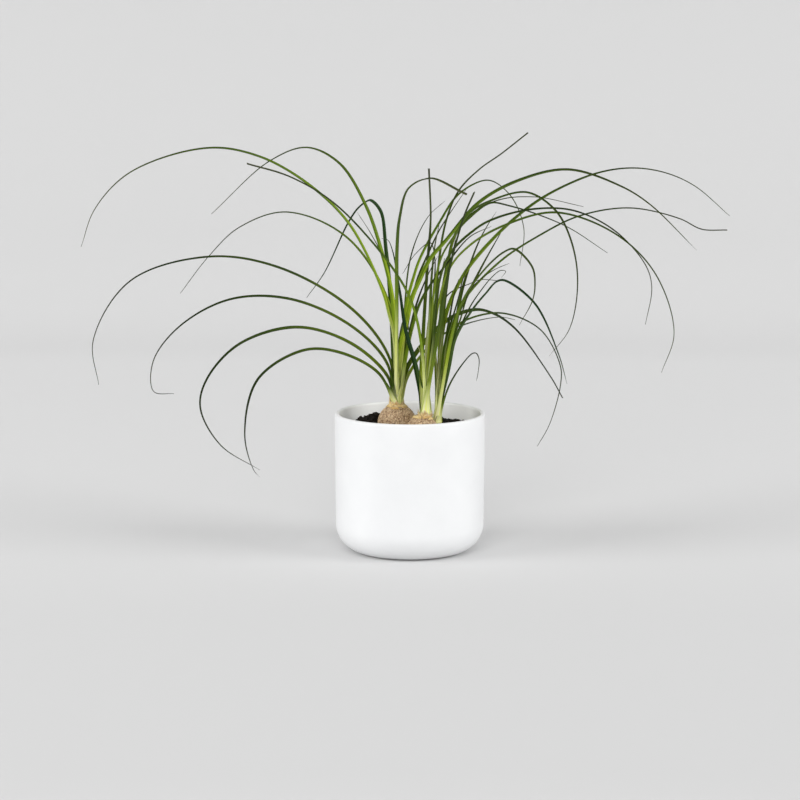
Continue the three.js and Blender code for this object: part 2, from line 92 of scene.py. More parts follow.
# The soil is a little wider at its top, where its side ends under the edge. Its rings run from the edge to
# the middle, and whatever lies within TOP_DEPTH of the top is crumbled.
EDGE_FLARE = 0.0006
EDGE_DROP = 0.0022
RING_SHARES = (0.996, 0.004)
TOP_DEPTH = 0.0001
CRUMBLE = {
    "fold_pitch": 300, "fold": 0.0012, "clod_pitch": 210, "clod_edge": 0.12, "clod_seed": 9.1,
    "clod_height": 0.0014, "heap_height": 0.0052, "crumb_pitch": 620, "crumb_fractal": (0.8, 2.1, 4),
    "crumb_height": 0.0007,
}
CLODS = {
    "count": 620, "seed": 41, "heap_every": 3, "edge_margin": 0.005, "heap_reach": 0.022, "heap_rarity": 1.5,
    "rarity": 2.8, "least": 0.0006, "more": 0.0020, "bump": 0.75, "bump_pitch": 1.5, "bump_reach": 50,
    "stretch": [(0.8, 0.5), (0.8, 0.5), (0.7, 0.4)], "lift": 0.3,
}

# Bulbs: outline points are (radius, height), from the buried foot to the neck
LEFT_BULB = {
    "place": (-0.0145, 0.010), "sides": 330, "rows": 120, "seed": 1.7,
    "outline": [
        (0.009, 0.112), (0.017, 0.118), (0.021, 0.128), (0.0223, 0.138), (0.0222, 0.146),
        (0.0202, 0.154), (0.016, 0.160), (0.0102, 0.1646), (0.0082, 0.166),
    ],
}
RIGHT_BULB = {
    "place": (0.0137, -0.019), "sides": 270, "rows": 100, "seed": 5.3,
    "outline": [
        (0.007, 0.118), (0.013, 0.123), (0.0164, 0.131), (0.0174, 0.140), (0.0168, 0.1475),
        (0.0134, 0.153), (0.0094, 0.1566), (0.008, 0.158),
    ],
}
SIDE_BULB = {
    "place": (0.0305, -0.005), "sides": 160, "rows": 60, "seed": 9.1,
    "outline": [
        (0.004, 0.121), (0.0074, 0.125), (0.0094, 0.133), (0.0092, 0.140), (0.0074, 0.145), (0.0062, 0.147),
    ],
}
OUTLINE_STEPS = 24

# The buried share of a bulb's outline has few rows, and within a share of the neck's radius it stays smooth.
BURIED_SHARE = 0.30
BURIED_ROWS = 12
SMOOTH_NECK = 0.6

# Cork: how deep its dents are, and the shares of that which cracks, lumps and rings make up
BARK_RELIEF = 0.0009
CORK = {
    "fold_pitch": 320, "fold": 0.0014, "plate_pitch": 430, "crack_width": 0.30, "crack_depth": 0.45,
    "lump_pitch": 120, "lump_fractal": (1.0, 2.0, 3), "lump_depth": 0.30,
    "ring_pitch": 2600, "ring_wander": 3, "wander_pitch": 90, "ring_depth": 0.12,
}

# Dry scales in rings: how many, how far under the neck's foot they start, their height and their lift.
# A pair is the least share and how much a draw adds to it.
SCALE_RINGS = [(7, 0.0030, 0.0050, 0.0009), (8, 0.0018, 0.0058, 0.0006), (8, 0.0006, 0.0078, 0.0003)]
SCALE_DRAWS = {"width": (0.8, 0.7), "height": (0.6, 0.6), "drop": (0.7, 0.6), "torn": (0.62, 0.5)}
SCALE_SHIFT = 0.6
SCALE_THICKNESS = 0.00018
SCALE_FLARE = 0.0009
LEAST_FLARE = 0.3
SCALE_COLUMNS = 9
SCALE_ROWS = 11
SCALE_TAPER = 0.5
SCALE_TAPER_POWER = 1.5
SCALE_ROUNDING = 0.3
SCALE_WAVE = {"height": 0.0002, "across": 5, "up": 9, "around": 7}

# Leaf heads: the root of each neck, and how many leaves follow the rule
LEFT_HEAD = {
    "place": Vector((-0.015, 0.010, 0.1663)), "radius": 0.0073, "height": 0.017, "young": 3, "rear": 2,
}
RIGHT_HEAD = {
    "place": Vector((0.017, -0.019, 0.1583)), "radius": 0.0071, "height": 0.017, "young": 5, "rear": 0,
}
SIDE_HEAD = {
    "place": Vector((0.031, -0.0045, 0.1473)), "radius": 0.0055, "height": 0.015, "young": 3, "rear": 0,
}
NECK = {
    "rows": 18, "sides": 48, "width": 0.78, "taper": 0.5, "peak": 1.01,
    "tone": 0.9, "along": 0.01, "root_share": 0.6, "waves": 5, "seed": 5.5,
}

# Leaves. The front view is seen from VIEW_DISTANCE, VIEW_RISE above level. Its heights are from VIEW_LEVEL.
VIEW_LEVEL = 0.157
VIEW_DISTANCE = 3.5
VIEW_RISE = math.radians(9.2)
THIN_LEAF = 0.0034
SLIM_LEAF = 0.0042
SLENDER_LEAF = 0.0044
SPARE_LEAF = 0.0046
LEAF_WIDTH = 0.0054
WIDE_LEAF = 0.0064
BROAD_LEAF = 0.0074
LEAF_THICKNESS = 0.0008
SHEATH_THICKNESS = 0.0005
ROOT_RISE = 0.003
ROOT_STEPS = 6
BACKWARD_BEND = 1.4

# A leaf keeps its width up to the taper's start. The last share of it narrows to the least share of a point.
TIP_WIDTH = 0.0007
TIP_SHARE = 0.03
TIP_LEAST = 0.25
TAPER = {"start": 0.15, "loss": 0.92, "power": 1.15, "cut_power": 2.2, "cut_least": 0.5}
TURN_DEGREES = (25, 20)
FULL_TURN = 2 * math.pi

# A leaf starts as a sheath that wraps the neck, leaves it over the sheath's length, and turns over its own
# turning length. Its rings are close at the sheath and where it bends, and wider apart along the blade.
SHEATH_LENGTH = 0.020
SHEATH_WRAP = 1.35
CLASP_POWER = 1.4
LEAN_LENGTH = 0.045
TURNING_LENGTH = 0.045
TWIST_DRIFT = 0.30
DRIFT_PITCH = 9
DRIFT_ROWS = (3.7, 1.3)
WAVER_SEED = 9
HEAD_SEEDS = 10
CLOSE_STEP = 0.0022
CLOSE_UNTIL = 0.040
WIDE_STEP = 0.0065
BEND_STEP = math.radians(7)
BEND_SAMPLES = 600

# The sheaths' radii, as shares of the neck's, go from the inmost wrap outwards over the spread. A leaf's seed
# times the step gives it streaks of its own.
INMOST_WRAP = 0.30
WRAP_SPREAD = 0.62
STREAK_STEP = 0.37

# The section of a blade: its waver in width, its curl and crease, and its depth at the edge, belly and keel
SECTION = {
    "waver": 0.05, "waver_pitch": 40, "least_wrap": 0.0008, "least_radius": 0.002, "curl": 0.5,
    "sheath_curl": 0.8, "crease": 0.38, "crease_power": 1.2, "thinning": 0.5, "edge": 0.30, "belly": 0.45,
    "keel": 0.45, "keel_width": 0.2, "above": 0.4, "face_points": 11, "under_points": 9, "under_reach": 0.84,
}


def leaf(back, tone, route, width=LEAF_WIDTH, turn=None, cut=False):
    """How far a leaf's tip lies behind its head, in millimetres, its tone from 0, deep blue-green, to 1,
    bright yellow-green, and its route in the front view, (across, up) in millimetres from the pot's axis and
    VIEW_LEVEL."""
    route = [(across / 1000, up / 1000) for across, up in route]
    return {"back": back / 1000, "tone": tone, "route": route, "width": width, "turn": turn, "cut": cut}


LEFT_LEAVES = [
    leaf(-110, 0.09, [
        (-26, 67), (-68, 119), (-147, 164), (-226, 177), (-316, 150), (-358, 83), (-352, 33),
    ]),
    leaf(-160, 0.09, [
        (-28, 59), (-68, 99), (-136, 129), (-203, 129), (-260, 99), (-290, 60), (-290, 26), (-267, 23),
    ]),
    leaf(-200, 0.085, [
        (-26, 42), (-68, 79), (-128, 97), (-192, 79), (-229, 40), (-237, 8), (-215, -34), (-170, -63),
    ]),
    leaf(-230, 0.09, [(-37, 46), (-79, 68), (-120, 71), (-172, 39), (-187, -22), (-177, -63), (-170, -71)]),
    leaf(-90, 0.95, [
        (-20, 92), (-25, 113), (-31, 136), (-68, 212), (-113, 257), (-170, 290), (-229, 300), (-316, 273),
        (-356, 232), (-372, 189),
    ], width=WIDE_LEAF),
    leaf(230, 0.3, [
        (-21, 117), (-68, 196), (-138, 227), (-192, 210), (-226, 178), (-259, 135),
    ], width=THIN_LEAF),
    leaf(170, 0.7, [(-19, 128), (-32, 185), (-49, 234), (-79, 282), (-116, 300), (-158, 285), (-224, 225)]),
    leaf(260, 0.04, [
        (-20, 117), (-26, 185), (-32, 228), (-44, 240), (-55, 234), (-67, 218), (-96, 158), (-116, 130),
    ], width=WIDE_LEAF),
    leaf(-120, 0.95, [(-14, 128), (-14, 185), (-11, 222), (-1, 255), (23, 266), (64, 248)], cut=True),
    leaf(200, 0.35, [(-20, 117), (-28, 171), (-43, 202), (-59, 227)], width=THIN_LEAF),
    leaf(190, 0.75, [
        (-8, 77), (-3, 125), (5, 155), (12, 175), (34, 216), (56, 248), (89, 263), (113, 247), (129, 210),
        (125, 166),
    ], width=SLIM_LEAF),
    leaf(120, 0.5, [(-7, 77), (0, 117), (9, 153), (20, 179), (34, 208), (66, 256)], width=SLENDER_LEAF),
    leaf(260, 0.3, [(-8, 94), (1, 176), (20, 220), (41, 240)], width=THIN_LEAF),
    leaf(-60, 0.35, [
        (-9, 32), (-3, 66), (3, 94), (12, 124), (23, 144), (42, 169), (68, 200), (92, 212),
    ], width=WIDE_LEAF, turn=75),
    leaf(220, 0.1, [(-1, 55), (40, 103), (72, 116), (94, 112), (119, 95), (160, 40), (173, 17)], cut=True),
    leaf(260, 0.3, [(-5, 38), (12, 64), (34, 86), (60, 99), (102, 108), (120, 105)], width=THIN_LEAF),
    leaf(-110, 0.45, [
        (-9, 77), (-2, 106), (4, 132), (13, 153), (24, 175), (42, 196), (79, 239), (124, 264), (179, 276),
        (237, 258), (271, 237), (324, 185),
    ], width=WIDE_LEAF, turn=70),
    leaf(60, 0.25, [(-9, 40), (-4, 75), (1, 100), (6, 120), (13, 140), (22, 160), (32, 178)], turn=60),
]
RIGHT_LEAVES = [
    leaf(-150, 0.6, [
        (12, 77), (2, 123), (-11, 150), (-45, 196), (-90, 241), (-136, 268), (-185, 283),
    ], cut=True),
    leaf(40, 0.0, [(5, 58), (-5, 94), (-12, 140), (-20, 185), (-25, 196), (-32, 198)], width=WIDE_LEAF),
    leaf(70, 0.35, [(12, 40), (14, 90), (17, 138), (20, 180), (23, 220), (21, 277)], cut=True),
    leaf(45, 1.0, [
        (18, 30), (20, 70), (22, 110), (23, 140), (25, 165), (28, 190), (34, 218),
    ], width=BROAD_LEAF),
    leaf(-50, 0.75, [(22, 30), (26, 65), (29, 95), (31, 122), (34, 150), (39, 176)], width=BROAD_LEAF),
    leaf(-110, 0.26, [(32, 83), (45, 162), (61, 222), (73, 251)], width=WIDE_LEAF, cut=True),
    leaf(-150, 0.4, [
        (34, 171), (51, 202), (68, 227), (90, 240), (132, 250), (164, 230), (182, 195), (189, 149),
        (180, 97), (157, 66),
    ]),
    leaf(-60, 0.15, [
        (41, 171), (73, 207), (96, 220), (141, 231), (186, 229), (232, 206), (266, 168), (273, 143),
        (266, 101),
    ]),
    leaf(-120, 0.45, [
        (42, 157), (68, 190), (113, 215), (166, 227), (232, 203), (277, 158), (298, 92), (284, 47),
    ]),
    leaf(95, 0.3, [(25, 120), (28, 175), (23, 193), (6, 180), (-8, 158)], width=THIN_LEAF),
]
SIDE_LEAVES = [
    leaf(170, 0.3, [
        (28, 106), (35, 190), (44, 228), (56, 253), (79, 276), (102, 292), (134, 317),
    ], width=THIN_LEAF, cut=True),
    leaf(200, 0.3, [(40, 150), (51, 202), (68, 222), (90, 237), (113, 234), (175, 212), (224, 181)]),
    leaf(280, 0.3, [(38, 150), (60, 215), (96, 239), (141, 244), (197, 233)], width=THIN_LEAF),
    leaf(120, 0.4, [
        (40, 106), (60, 154), (85, 187), (121, 222), (158, 248), (211, 271), (251, 277), (288, 272),
        (322, 257), (362, 223),
    ]),
    leaf(60, 0.35, [
        (46, 90), (62, 128), (102, 171), (147, 201), (192, 223), (249, 232), (305, 220), (330, 208),
        (359, 207),
    ], width=THIN_LEAF, cut=True),
    leaf(-200, 0.6, [
        (57, 119), (77, 154), (105, 182), (118, 186), (138, 166), (141, 146), (138, 128), (123, 101),
    ], width=WIDE_LEAF),
    leaf(-90, 0.5, [
        (46, 70), (60, 104), (70, 124), (80, 139), (92, 154), (102, 162), (108, 161), (103, 154),
    ]),
    leaf(-170, 0.04, [
        (45, 49), (53, 86), (73, 120), (87, 137), (98, 149), (107, 150), (141, 124), (168, 66), (177, 34),
    ], width=WIDE_LEAF),
    leaf(230, 0.15, [
        (51, 94), (60, 103), (102, 113), (147, 95), (170, 55), (171, 34), (159, -12), (145, -38),
    ], width=THIN_LEAF),
    leaf(-60, 0.1, [(45, 32), (62, 59), (71, 68), (75, 68), (78, 62), (77, 47), (75, 37)], width=THIN_LEAF),
    leaf(90, 0.5, [(47, 94), (68, 140), (84, 171), (108, 213)], width=WIDE_LEAF),
    leaf(40, 0.15, [(36, 110), (41, 132), (51, 140), (66, 146), (79, 151), (102, 150)], width=THIN_LEAF),
    leaf(60, 0.75, [(51, 94), (58, 134), (68, 168), (79, 196), (90, 216), (98, 228)], width=WIDE_LEAF),
    leaf(10, 0.8, [(33, 10), (36, 45), (41, 78), (45, 105), (49, 128), (55, 152)], width=BROAD_LEAF),
    leaf(30, 0.85, [(32, 20), (34, 60), (36, 95), (39, 125), (44, 160), (52, 200)], width=BROAD_LEAF),
    leaf(-50, 0.45, [(36, 40), (40, 75), (47, 102), (52, 119), (56, 134), (60, 152), (71, 178)], turn=70),
    leaf(-40, 0.7, [
        (40, 40), (50, 84), (58, 108), (63, 126), (68, 139), (80, 152), (96, 163), (112, 170),
    ], width=SPARE_LEAF, turn=60),
]

# Young leaves of the rule stand up in the middle of a head, and rear ones arch back behind it.
# A shape's points are (out, up) as shares of the leaf's reach and rise.
YOUNG = {
    "shape": [(0.04, 0.22), (0.18, 0.52), (0.5, 0.8), (1, 1)],
    "bearing_spread": 0.55, "rise": (0.070, 0.035), "reach": (0.004, 0.005), "turn": 0,
    "width": LEAF_WIDTH * 0.9, "tone": 0.95,
}
REAR = {
    "shape": [(0.02, 0.12), (0.1, 0.5), (0.28, 0.86), (0.52, 1), (0.8, 0.74), (1, 0.35)],
    "bearing": math.radians(88), "bearing_step": 0.1, "rise": (0.072, 0.015), "reach": (0.210, 0.060),
    "turn": 10, "width": LEAF_WIDTH, "tone": 0.3,
}
GOLDEN_ANGLE = math.radians(137.5)

# A direction on a path is taken over this share of its length on both sides of a place.
WALK_REACH = 0.004

# Looks. A span is (low, high), spread over 0 to 1, or also has the two values that it is spread over. A tint
# is a colour and the span that brings it in. The mix node's sockets are reached by number, since several of
# them share a name.
MIX_AMOUNT, MIX_FIRST, MIX_SECOND, MIX_RESULT = 0, 6, 7, 2
MOTTLE_DETAIL = {"Patches": 4.0, "Grain": 6.0}
MOTTLE_SPAN = (0.25, 0.75)
MOTTLE_ROUGHNESS = 0.6
GLAZE = {
    "mottle": (28, 1400),
    "thin": (0.745, 0.752, 0.760),
    "thick": (0.775, 0.782, 0.788),
    # The inside colour is painted light: the inner wall, from a little under the soil up, is glazed paler to
    # lift its shade.
    "inside": (0.92, 0.92, 0.91),
    "inside_radius": (RIM_RADIUS - WALL + 0.0004, RIM_RADIUS - WALL + 0.0016, 1, 0),
    "inside_height": (SOIL_TOP - 0.03, SOIL_TOP - 0.02),
    "lip": ((0.76, 0.75, 0.72), (POT_HEIGHT - 0.0014, POT_HEIGHT, 0, 0.35)),
    "foot_height": 0.0006,
    "dark_biscuit": (0.62, 0.56, 0.47),
    "pale_biscuit": (0.74, 0.69, 0.6),
    "roughness": (0, 1, 0.34, 0.44),
}
PEAT = {
    "mottle": (160, 2400),
    "black": (0.006, 0.005, 0.004),
    "brown": (0.022, 0.016, 0.011),
    "speck": ((0.09, 0.055, 0.03), (0.72, 0.9, 0, 0.6)),
}
BARK = {
    "mottle": (300, 1500),
    "plates": [
        (0.1, (0.24, 0.130, 0.060)), (0.4, (0.45, 0.29, 0.16)), (0.65, (0.58, 0.41, 0.24)),
        (0.95, (0.80, 0.61, 0.39)),
    ],
    "worn": ((0.90, 0.75, 0.54), (0.45, 0.95, 0, 0.85)),
    "crack": ((0.10, 0.045, 0.020), (0.05, 0.55, 0.85, 0)),
}
PAPERY = {
    "mottle": (400, 2600),
    "golden": (0.56, 0.34, 0.11),
    "straw": (0.84, 0.66, 0.30),
    "torn": ((0.90, 0.80, 0.52), (0.3, 1, 0, 0.7)),
    "stain": ((0.30, 0.17, 0.08), (0.5, 0.9, 0, 0.5)),
}
GREEN = {
    "strands_across": 5.0,
    "strands_along": 16.0,
    "streak_detail": 5.0,
    "streaks": (0.38, 0.62),
    # Along each leaf: pale at the root, deep green on the arch and dull at the dry tip. The near black on the
    # arch is partly the leaf's own dark green and partly painted shade.
    "bright": [
        (0.0, (0.920, 0.900, 0.220)), (0.12, (0.700, 0.780, 0.045)), (0.26, (0.300, 0.430, 0.010)),
        (0.42, (0.080, 0.160, 0.006)), (0.7, (0.027, 0.048, 0.008)), (1.0, (0.050, 0.046, 0.034)),
    ],
    "deep": [
        (0.0, (0.110, 0.190, 0.026)), (0.10, (0.024, 0.074, 0.004)), (0.30, (0.010, 0.030, 0.004)),
        (0.7, (0.010, 0.016, 0.007)), (1.0, (0.030, 0.029, 0.023)),
    ],
    "cool": ((0.013, 0.056, 0.024), (0.04, 0.08, 0.60, 0.0)),
    "streak": (0.62, 0.78, 0.06),
    "streak_along": (0.05, 0.6, 0.6, 0.08),
    "streak_tones": (0.0, 0.5, 0.16, 1.0),
    # fold is painted shade: the half of each blade past its middle is darkened, as if its fold turned it from
    # the light.
    "fold": ((0.46, 0.60, 0.34), (-0.12, 0.12, 0.0, 0.7)),
    "midrib": (0.28, 0.38, 0.10),
    "midrib_across": (0.0, 0.2, 0.16, 0.0),
    "midrib_tones": (0.0, 0.5, 0.4, 1.0),
    "under": ((0.045, 0.075, 0.028), (0.0, 1.0, 0.0, 0.3)),
    # edge is painted shade: both edges of every leaf and sheath are darkened, for the shade in the gaps
    # between leaves.
    "edge": ((0.30, 0.42, 0.22), (0.78, 1.0, 0.0, 0.6)),
    "cream": (1.0, 0.99, 0.60),
    "lime": (0.90, 0.94, 0.24),
    "pale_length": (0.0, 1.0, 0.012, 0.130),
    "pale_power": 1.05,
    "veins": 34.0,
    "vein_height": 0.5,
    "roughness": (0, 1, 0.38, 0.52),
}

# View
CAMERA_TARGET = Vector((-0.0111, 0.0, 0.1725))
CAMERA_LENS = 139.4
SENSOR_WIDTH = 36
VIEW_END = 50

# The backdrop: a floor, a round bend and an upright wall. The paper's tone along its sweep, from the front of
# the floor to the wall, evens out the light's fall.
FLOOR_REACH = 25.0
BEND_START = 1.6
BEND_RADIUS = 1.2
BEND_STEPS = 24
WALL_TOP = (2.8, 5.0)
PAPER_SWEEP = (-1.0, 3.2)
PAPER_TONES = [
    (0.02, 0.61), (0.16, 0.665), (0.24, 0.715), (0.36, 0.755), (0.58, 0.82), (0.69, 0.775), (0.78, 0.715),
    (1.0, 0.65),
]
PAPER_MOTTLE = (3, 60)
PAPER_SHADE = (0.6, 0.6, 0.6)
PAPER_SHADE_SHARE = 0.02

# Lights: name, place, size and power
LIGHTS = [
    ("key", (-0.4, -3.5, 2.2), 2.6, 66),
    ("fill", (4.4, -1.7, 1.7), 2.8, 141),
    ("side", (-4.4, -1.7, 1.7), 2.8, 136),
]
LIGHT_AIM = Vector((0, 0, 0.2))
SKY_STRENGTH = 0.44


# Meshes

def seeded_draws(seed):
    """A repeatable stream of draws between 0 and 1."""
    state = seed
    while True:
        state = (state * DRAW_FACTOR + DRAW_STEP) % DRAW_RANGE
        yield state / DRAW_RANGE


def drawn(draw, pair):
    """The least value of a pair, with a drawn share of its second value added."""
    return pair[0] + pair[1] * next(draw)


def smooth_path(points, per_span=32):
    """Places along a smooth curve through points, with knots spaced by the root of their distance."""
    pts = np.array(points, float)
    pts = np.vstack([2 * pts[0] - pts[1], pts, 2 * pts[-1] - pts[-2]])
    places = []
    for i in range(1, len(pts) - 2):
        p0, p1, p2, p3 = pts[i - 1:i + 3]
        d0, d1, d2 = (math.sqrt(np.linalg.norm(b - a)) for a, b in ((p0, p1), (p1, p2), (p2, p3)))
        start = ((p1 - p0) / d0 - (p2 - p0) / (d0 + d1) + (p2 - p1) / d1) * d1
        end = ((p2 - p1) / d1 - (p3 - p1) / (d1 + d2) + (p3 - p2) / d2) * d1
        t = np.linspace(0, 1, per_span, endpoint=False)[:, None]
        places.append(
            (2 * t**3 - 3 * t**2 + 1) * p1 + (t**3 - 2 * t**2 + t) * start
            + (3 * t**2 - 2 * t**3) * p2 + (t**3 - t**2) * end
        )
    places.append(pts[-2][None, :])
    return np.vstack(places)


def walk(path, shares):
    """Places and directions at shares of a path's length."""
    steps = np.linalg.norm(np.diff(path, axis=0), axis=1)
    walked = np.concatenate([[0], np.cumsum(steps)])
    length = walked[-1]

    def at(distance):
        return np.stack([np.interp(distance, walked, path[:, k]) for k in range(path.shape[1])], axis=1)

    distance = np.asarray(shares) * length
    reach = length * WALK_REACH
    along = at(np.minimum(distance + reach, length)) - at(np.maximum(distance - reach, 0))
    along /= np.linalg.norm(along, axis=1)[:, None]
    return at(distance), along


def put(name, data):
    """A new object in the scene."""
    made = bpy.data.objects.new(name, data)
    bpy.context.scene.collection.objects.link(made)
    return made


def put_mesh(name, places, faces, paint):
    """A new smooth object of one material."""
    mesh = bpy.data.meshes.new(name)
    mesh.from_pydata(places, [], faces)
    mesh.polygons.foreach_set("use_smooth", [True] * len(mesh.polygons))
    mesh.materials.append(material_of(paint))
    return put(name, mesh)


class Build:
    """Gathers rings of vertices, faces and per-vertex values into one mesh."""

    def __init__(self, *value_names):
        self.places = []
        self.faces = []
        self.values = {name: [] for name in value_names}
        self.count = 0

    def add(self, places, faces, **values):
        """More vertices and faces, with one value for all of them or one for each."""
        places = np.asarray(places, float)
        self.places.append(places)
        self.faces += [tuple(self.count + i for i in face) for face in faces]
        for name, kept in self.values.items():
            kept.append(np.broadcast_to(np.asarray(values.get(name, 0.0), float), (len(places),)))
        self.count += len(places)

    def piece(self, name, paint, slot, node):
        """The gathered mesh as a piece of the scene that stands for one node of the model."""
        piece = put_mesh(name, np.vstack(self.places).tolist(), self.faces, paint)
        for value_name, kept in self.values.items():
            layer = piece.data.attributes.new(value_name, "FLOAT", "POINT")
            layer.data.foreach_set("value", np.concatenate(kept).astype(np.float32))
        piece.data.validate()
        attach(piece, "root")
        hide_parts(node)


def ring_faces(rings, size):
    """Quads between rings of one size that follow each other, with flat ends."""
    faces = []
    for ring in range(rings - 1):
        first = ring * size
        for i in range(size):
            j = (i + 1) % size
            faces.append((first + i, first + j, first + size + j, first + size + i))
    faces.append(tuple(range(size - 1, -1, -1)))
    faces.append(tuple(range((rings - 1) * size, rings * size)))
    return faces


def round_corner(centre_radius, centre_height, radius, from_degrees, to_degrees, steps):
    """Points on a round corner of a turned profile."""
    angles = np.radians(np.linspace(from_degrees, to_degrees, steps + 1))
    across = centre_radius + radius * np.cos(angles)
    return np.stack([across, centre_height + radius * np.sin(angles)], axis=1)


def turned_places(profile, sides):
    """Vertices of a turned surface, a ring of each profile point, and each one's bearing."""
    bearing = np.arange(sides) / sides * FULL_TURN
    radius = np.repeat(profile[:, 0], sides)
    height = np.repeat(profile[:, 1], sides)
    around = np.tile(bearing, len(profile))
    return np.stack([radius * np.cos(around), radius * np.sin(around), height], axis=1), around


# Pot

def pot_profile():
    """Up the outside from the foot, over the round lip and down the inside to the floor."""
    lip = WALL / 2
    foot = np.array([[POT_AXIS, 0.0], [CORNER_RADIUS * 0.5, 0.0]])
    outer = round_corner(CORNER_RADIUS, FOOT_ROUNDING, FOOT_ROUNDING, -90, 0, OUTER_STEPS)
    side = np.linspace(outer[-1], [RIM_RADIUS, POT_HEIGHT - lip], SIDE_STEPS)[1:-1]
    rim = round_corner(RIM_RADIUS - lip, POT_HEIGHT - lip, lip, 0, 180, LIP_STEPS)
    inner_centre = POT_FLOOR + INNER_ROUNDING
    inner_corner = round_corner(CORNER_RADIUS, inner_centre, INNER_ROUNDING, 0, -90, INNER_STEPS)
    inner_side = np.linspace(rim[-1], inner_corner[0], SIDE_STEPS)[1:-1]
    floor = np.array([[POT_AXIS, POT_FLOOR]])
    return np.vstack([foot, outer, side, rim, inner_side, inner_corner, floor])


def make_pot():
    """The pot, turned from its profile."""
    profile = pot_profile()
    places, _ = turned_places(profile, POT_SIDES)
    build = Build()
    build.add(places, ring_faces(len(profile), POT_SIDES))
    build.piece("glazed_pot", satin_white_glaze, "white_glaze", "pot")


# Soil

def heap_share(x, y):
    """1 in the middle of the heap, and less away from it."""
    distance = math.hypot(x - HEAP_PLACE[0], y - HEAP_PLACE[1])
    return math.exp(-((distance / HEAP_SPREAD) ** 2))


def soil_height(x, y):
    """The same lumps and heap as the model's soil."""
    across = math.sin(x * LUMP_ACROSS["pitch"] + LUMP_ACROSS["start"])
    along = math.sin(y * LUMP_ALONG["pitch"] + LUMP_ALONG["start"])
    slant = LUMP_SLANT["share"] * math.sin(x * LUMP_SLANT["x_pitch"] + y * LUMP_SLANT["y_pitch"])
    return SOIL_TOP + LUMP_HEIGHT / 2 * (across * along + slant) + HEAP_HEIGHT * heap_share(x, y)


def bulb_clearance(x, y):
    """How far a place lies outside the nearest bulb at its widest, and the level of that bulb's foot."""
    found = []
    for bulb in (LEFT_BULB, RIGHT_BULB, SIDE_BULB):
        widest = max(radius for radius, _ in bulb["outline"])
        distance = math.hypot(x - bulb["place"][0], y - bulb["place"][1])
        found.append((distance - widest, bulb["outline"][0][1]))
    return min(found)


def crumbled_height(x, y):
    """The soil's height with its clods and fine crumbs."""
    spot = Vector((x, y, 0))
    fold = noise.noise_vector(spot * CRUMBLE["fold_pitch"]) * CRUMBLE["fold"]
    near, cells = noise.voronoi((spot + fold) * CRUMBLE["clod_pitch"])
    clod = noise.noise(cells[0] * CRUMBLE["clod_seed"]) * min(1.0, (near[1] - near[0]) / CRUMBLE["clod_edge"])
    clod_height = CRUMBLE["clod_height"] + CRUMBLE["heap_height"] * heap_share(x, y)
    crumbs = noise.fractal(spot * CRUMBLE["crumb_pitch"], *CRUMBLE["crumb_fractal"])
    return soil_height(x, y) + clod_height * clod + CRUMBLE["crumb_height"] * crumbs


def soil_top(x, y):
    """The crumbled top, or the floor of the plain hole that a bulb stands in."""
    clearance, foot = bulb_clearance(x, y)
    return foot - SOIL_FIT if clearance < SOIL_FIT else crumbled_height(x, y)


def clod_form():
    """The corners and faces of a ball, to be knocked into the shape of a clod."""
    form = bmesh.new()
    bmesh.ops.create_icosphere(form, subdivisions=2, radius=1)
    corners = np.array([corner.co for corner in form.verts])
    faces = [tuple(corner.index for corner in face.verts) for face in form.faces]
    form.free()
    return corners, faces


def add_clods(build):
    """Loose crumbs on the soil, more and larger ones on the heap, none inside a bulb."""
    corners, faces = clod_form()
    draw = seeded_draws(CLODS["seed"])
    reach = RIM_RADIUS - WALL - CLODS["edge_margin"]
    for i in range(CLODS["count"]):
        if i % CLODS["heap_every"] == 0:
            middle, scatter, rarity = HEAP_PLACE, CLODS["heap_reach"], CLODS["heap_rarity"]
        else:
            middle, scatter, rarity = (0.0, 0.0), reach, CLODS["rarity"]
        bearing = next(draw) * FULL_TURN
        distance = scatter * math.sqrt(next(draw))
        x = middle[0] + distance * math.cos(bearing)
        y = middle[1] + distance * math.sin(bearing)
        size = CLODS["least"] + CLODS["more"] * next(draw) ** rarity
        seed = Vector((next(draw) * CLODS["bump_reach"], next(draw) * CLODS["bump_reach"], i))
        bumps = np.array([noise.noise(Vector(corner) * CLODS["bump_pitch"] + seed) for corner in corners])
        stretch = np.array([drawn(draw, pair) for pair in CLODS["stretch"]])
        if math.hypot(x, y) < reach and bulb_clearance(x, y)[0] > SOIL_FIT + size:
            centre = np.array([x, y, crumbled_height(x, y) + size * CLODS["lift"]])
            form = corners * (1 + CLODS["bump"] * bumps)[:, None] * stretch * size
            build.add(centre + form, faces)


def soil_profile():
    """From the middle of the pot's floor, up its inner wall and in over the top."""
    edge = CORNER_RADIUS + INNER_ROUNDING - GAP + EDGE_FLARE
    inner_centre = POT_FLOOR + INNER_ROUNDING
    below = round_corner(CORNER_RADIUS, inner_centre, INNER_ROUNDING - GAP, -90, 0, SOIL_CORNER_STEPS)
    rings = np.linspace(*RING_SHARES, SOIL_RINGS)
    return np.vstack([
        [[POT_AXIS, POT_FLOOR + GAP]],
        below,
        [[edge, SOIL_TOP - EDGE_DROP]],
        np.stack([edge * rings, np.full(SOIL_RINGS, SOIL_TOP)], axis=1),
    ])


def make_soil():
    """The soil, turned from its profile and crumbled on top, with its loose clods."""
    profile = soil_profile()
    places, _ = turned_places(profile, SOIL_SIDES)
    for place in places:
        if place[2] > SOIL_TOP - TOP_DEPTH:
            place[2] = soil_top(place[0], place[1])
    build = Build()
    build.add(places, ring_faces(len(profile), SOIL_SIDES))
    add_clods(build)
    build.piece("potting_soil", dark_peat, "dark_soil", "soil")


# Bulbs

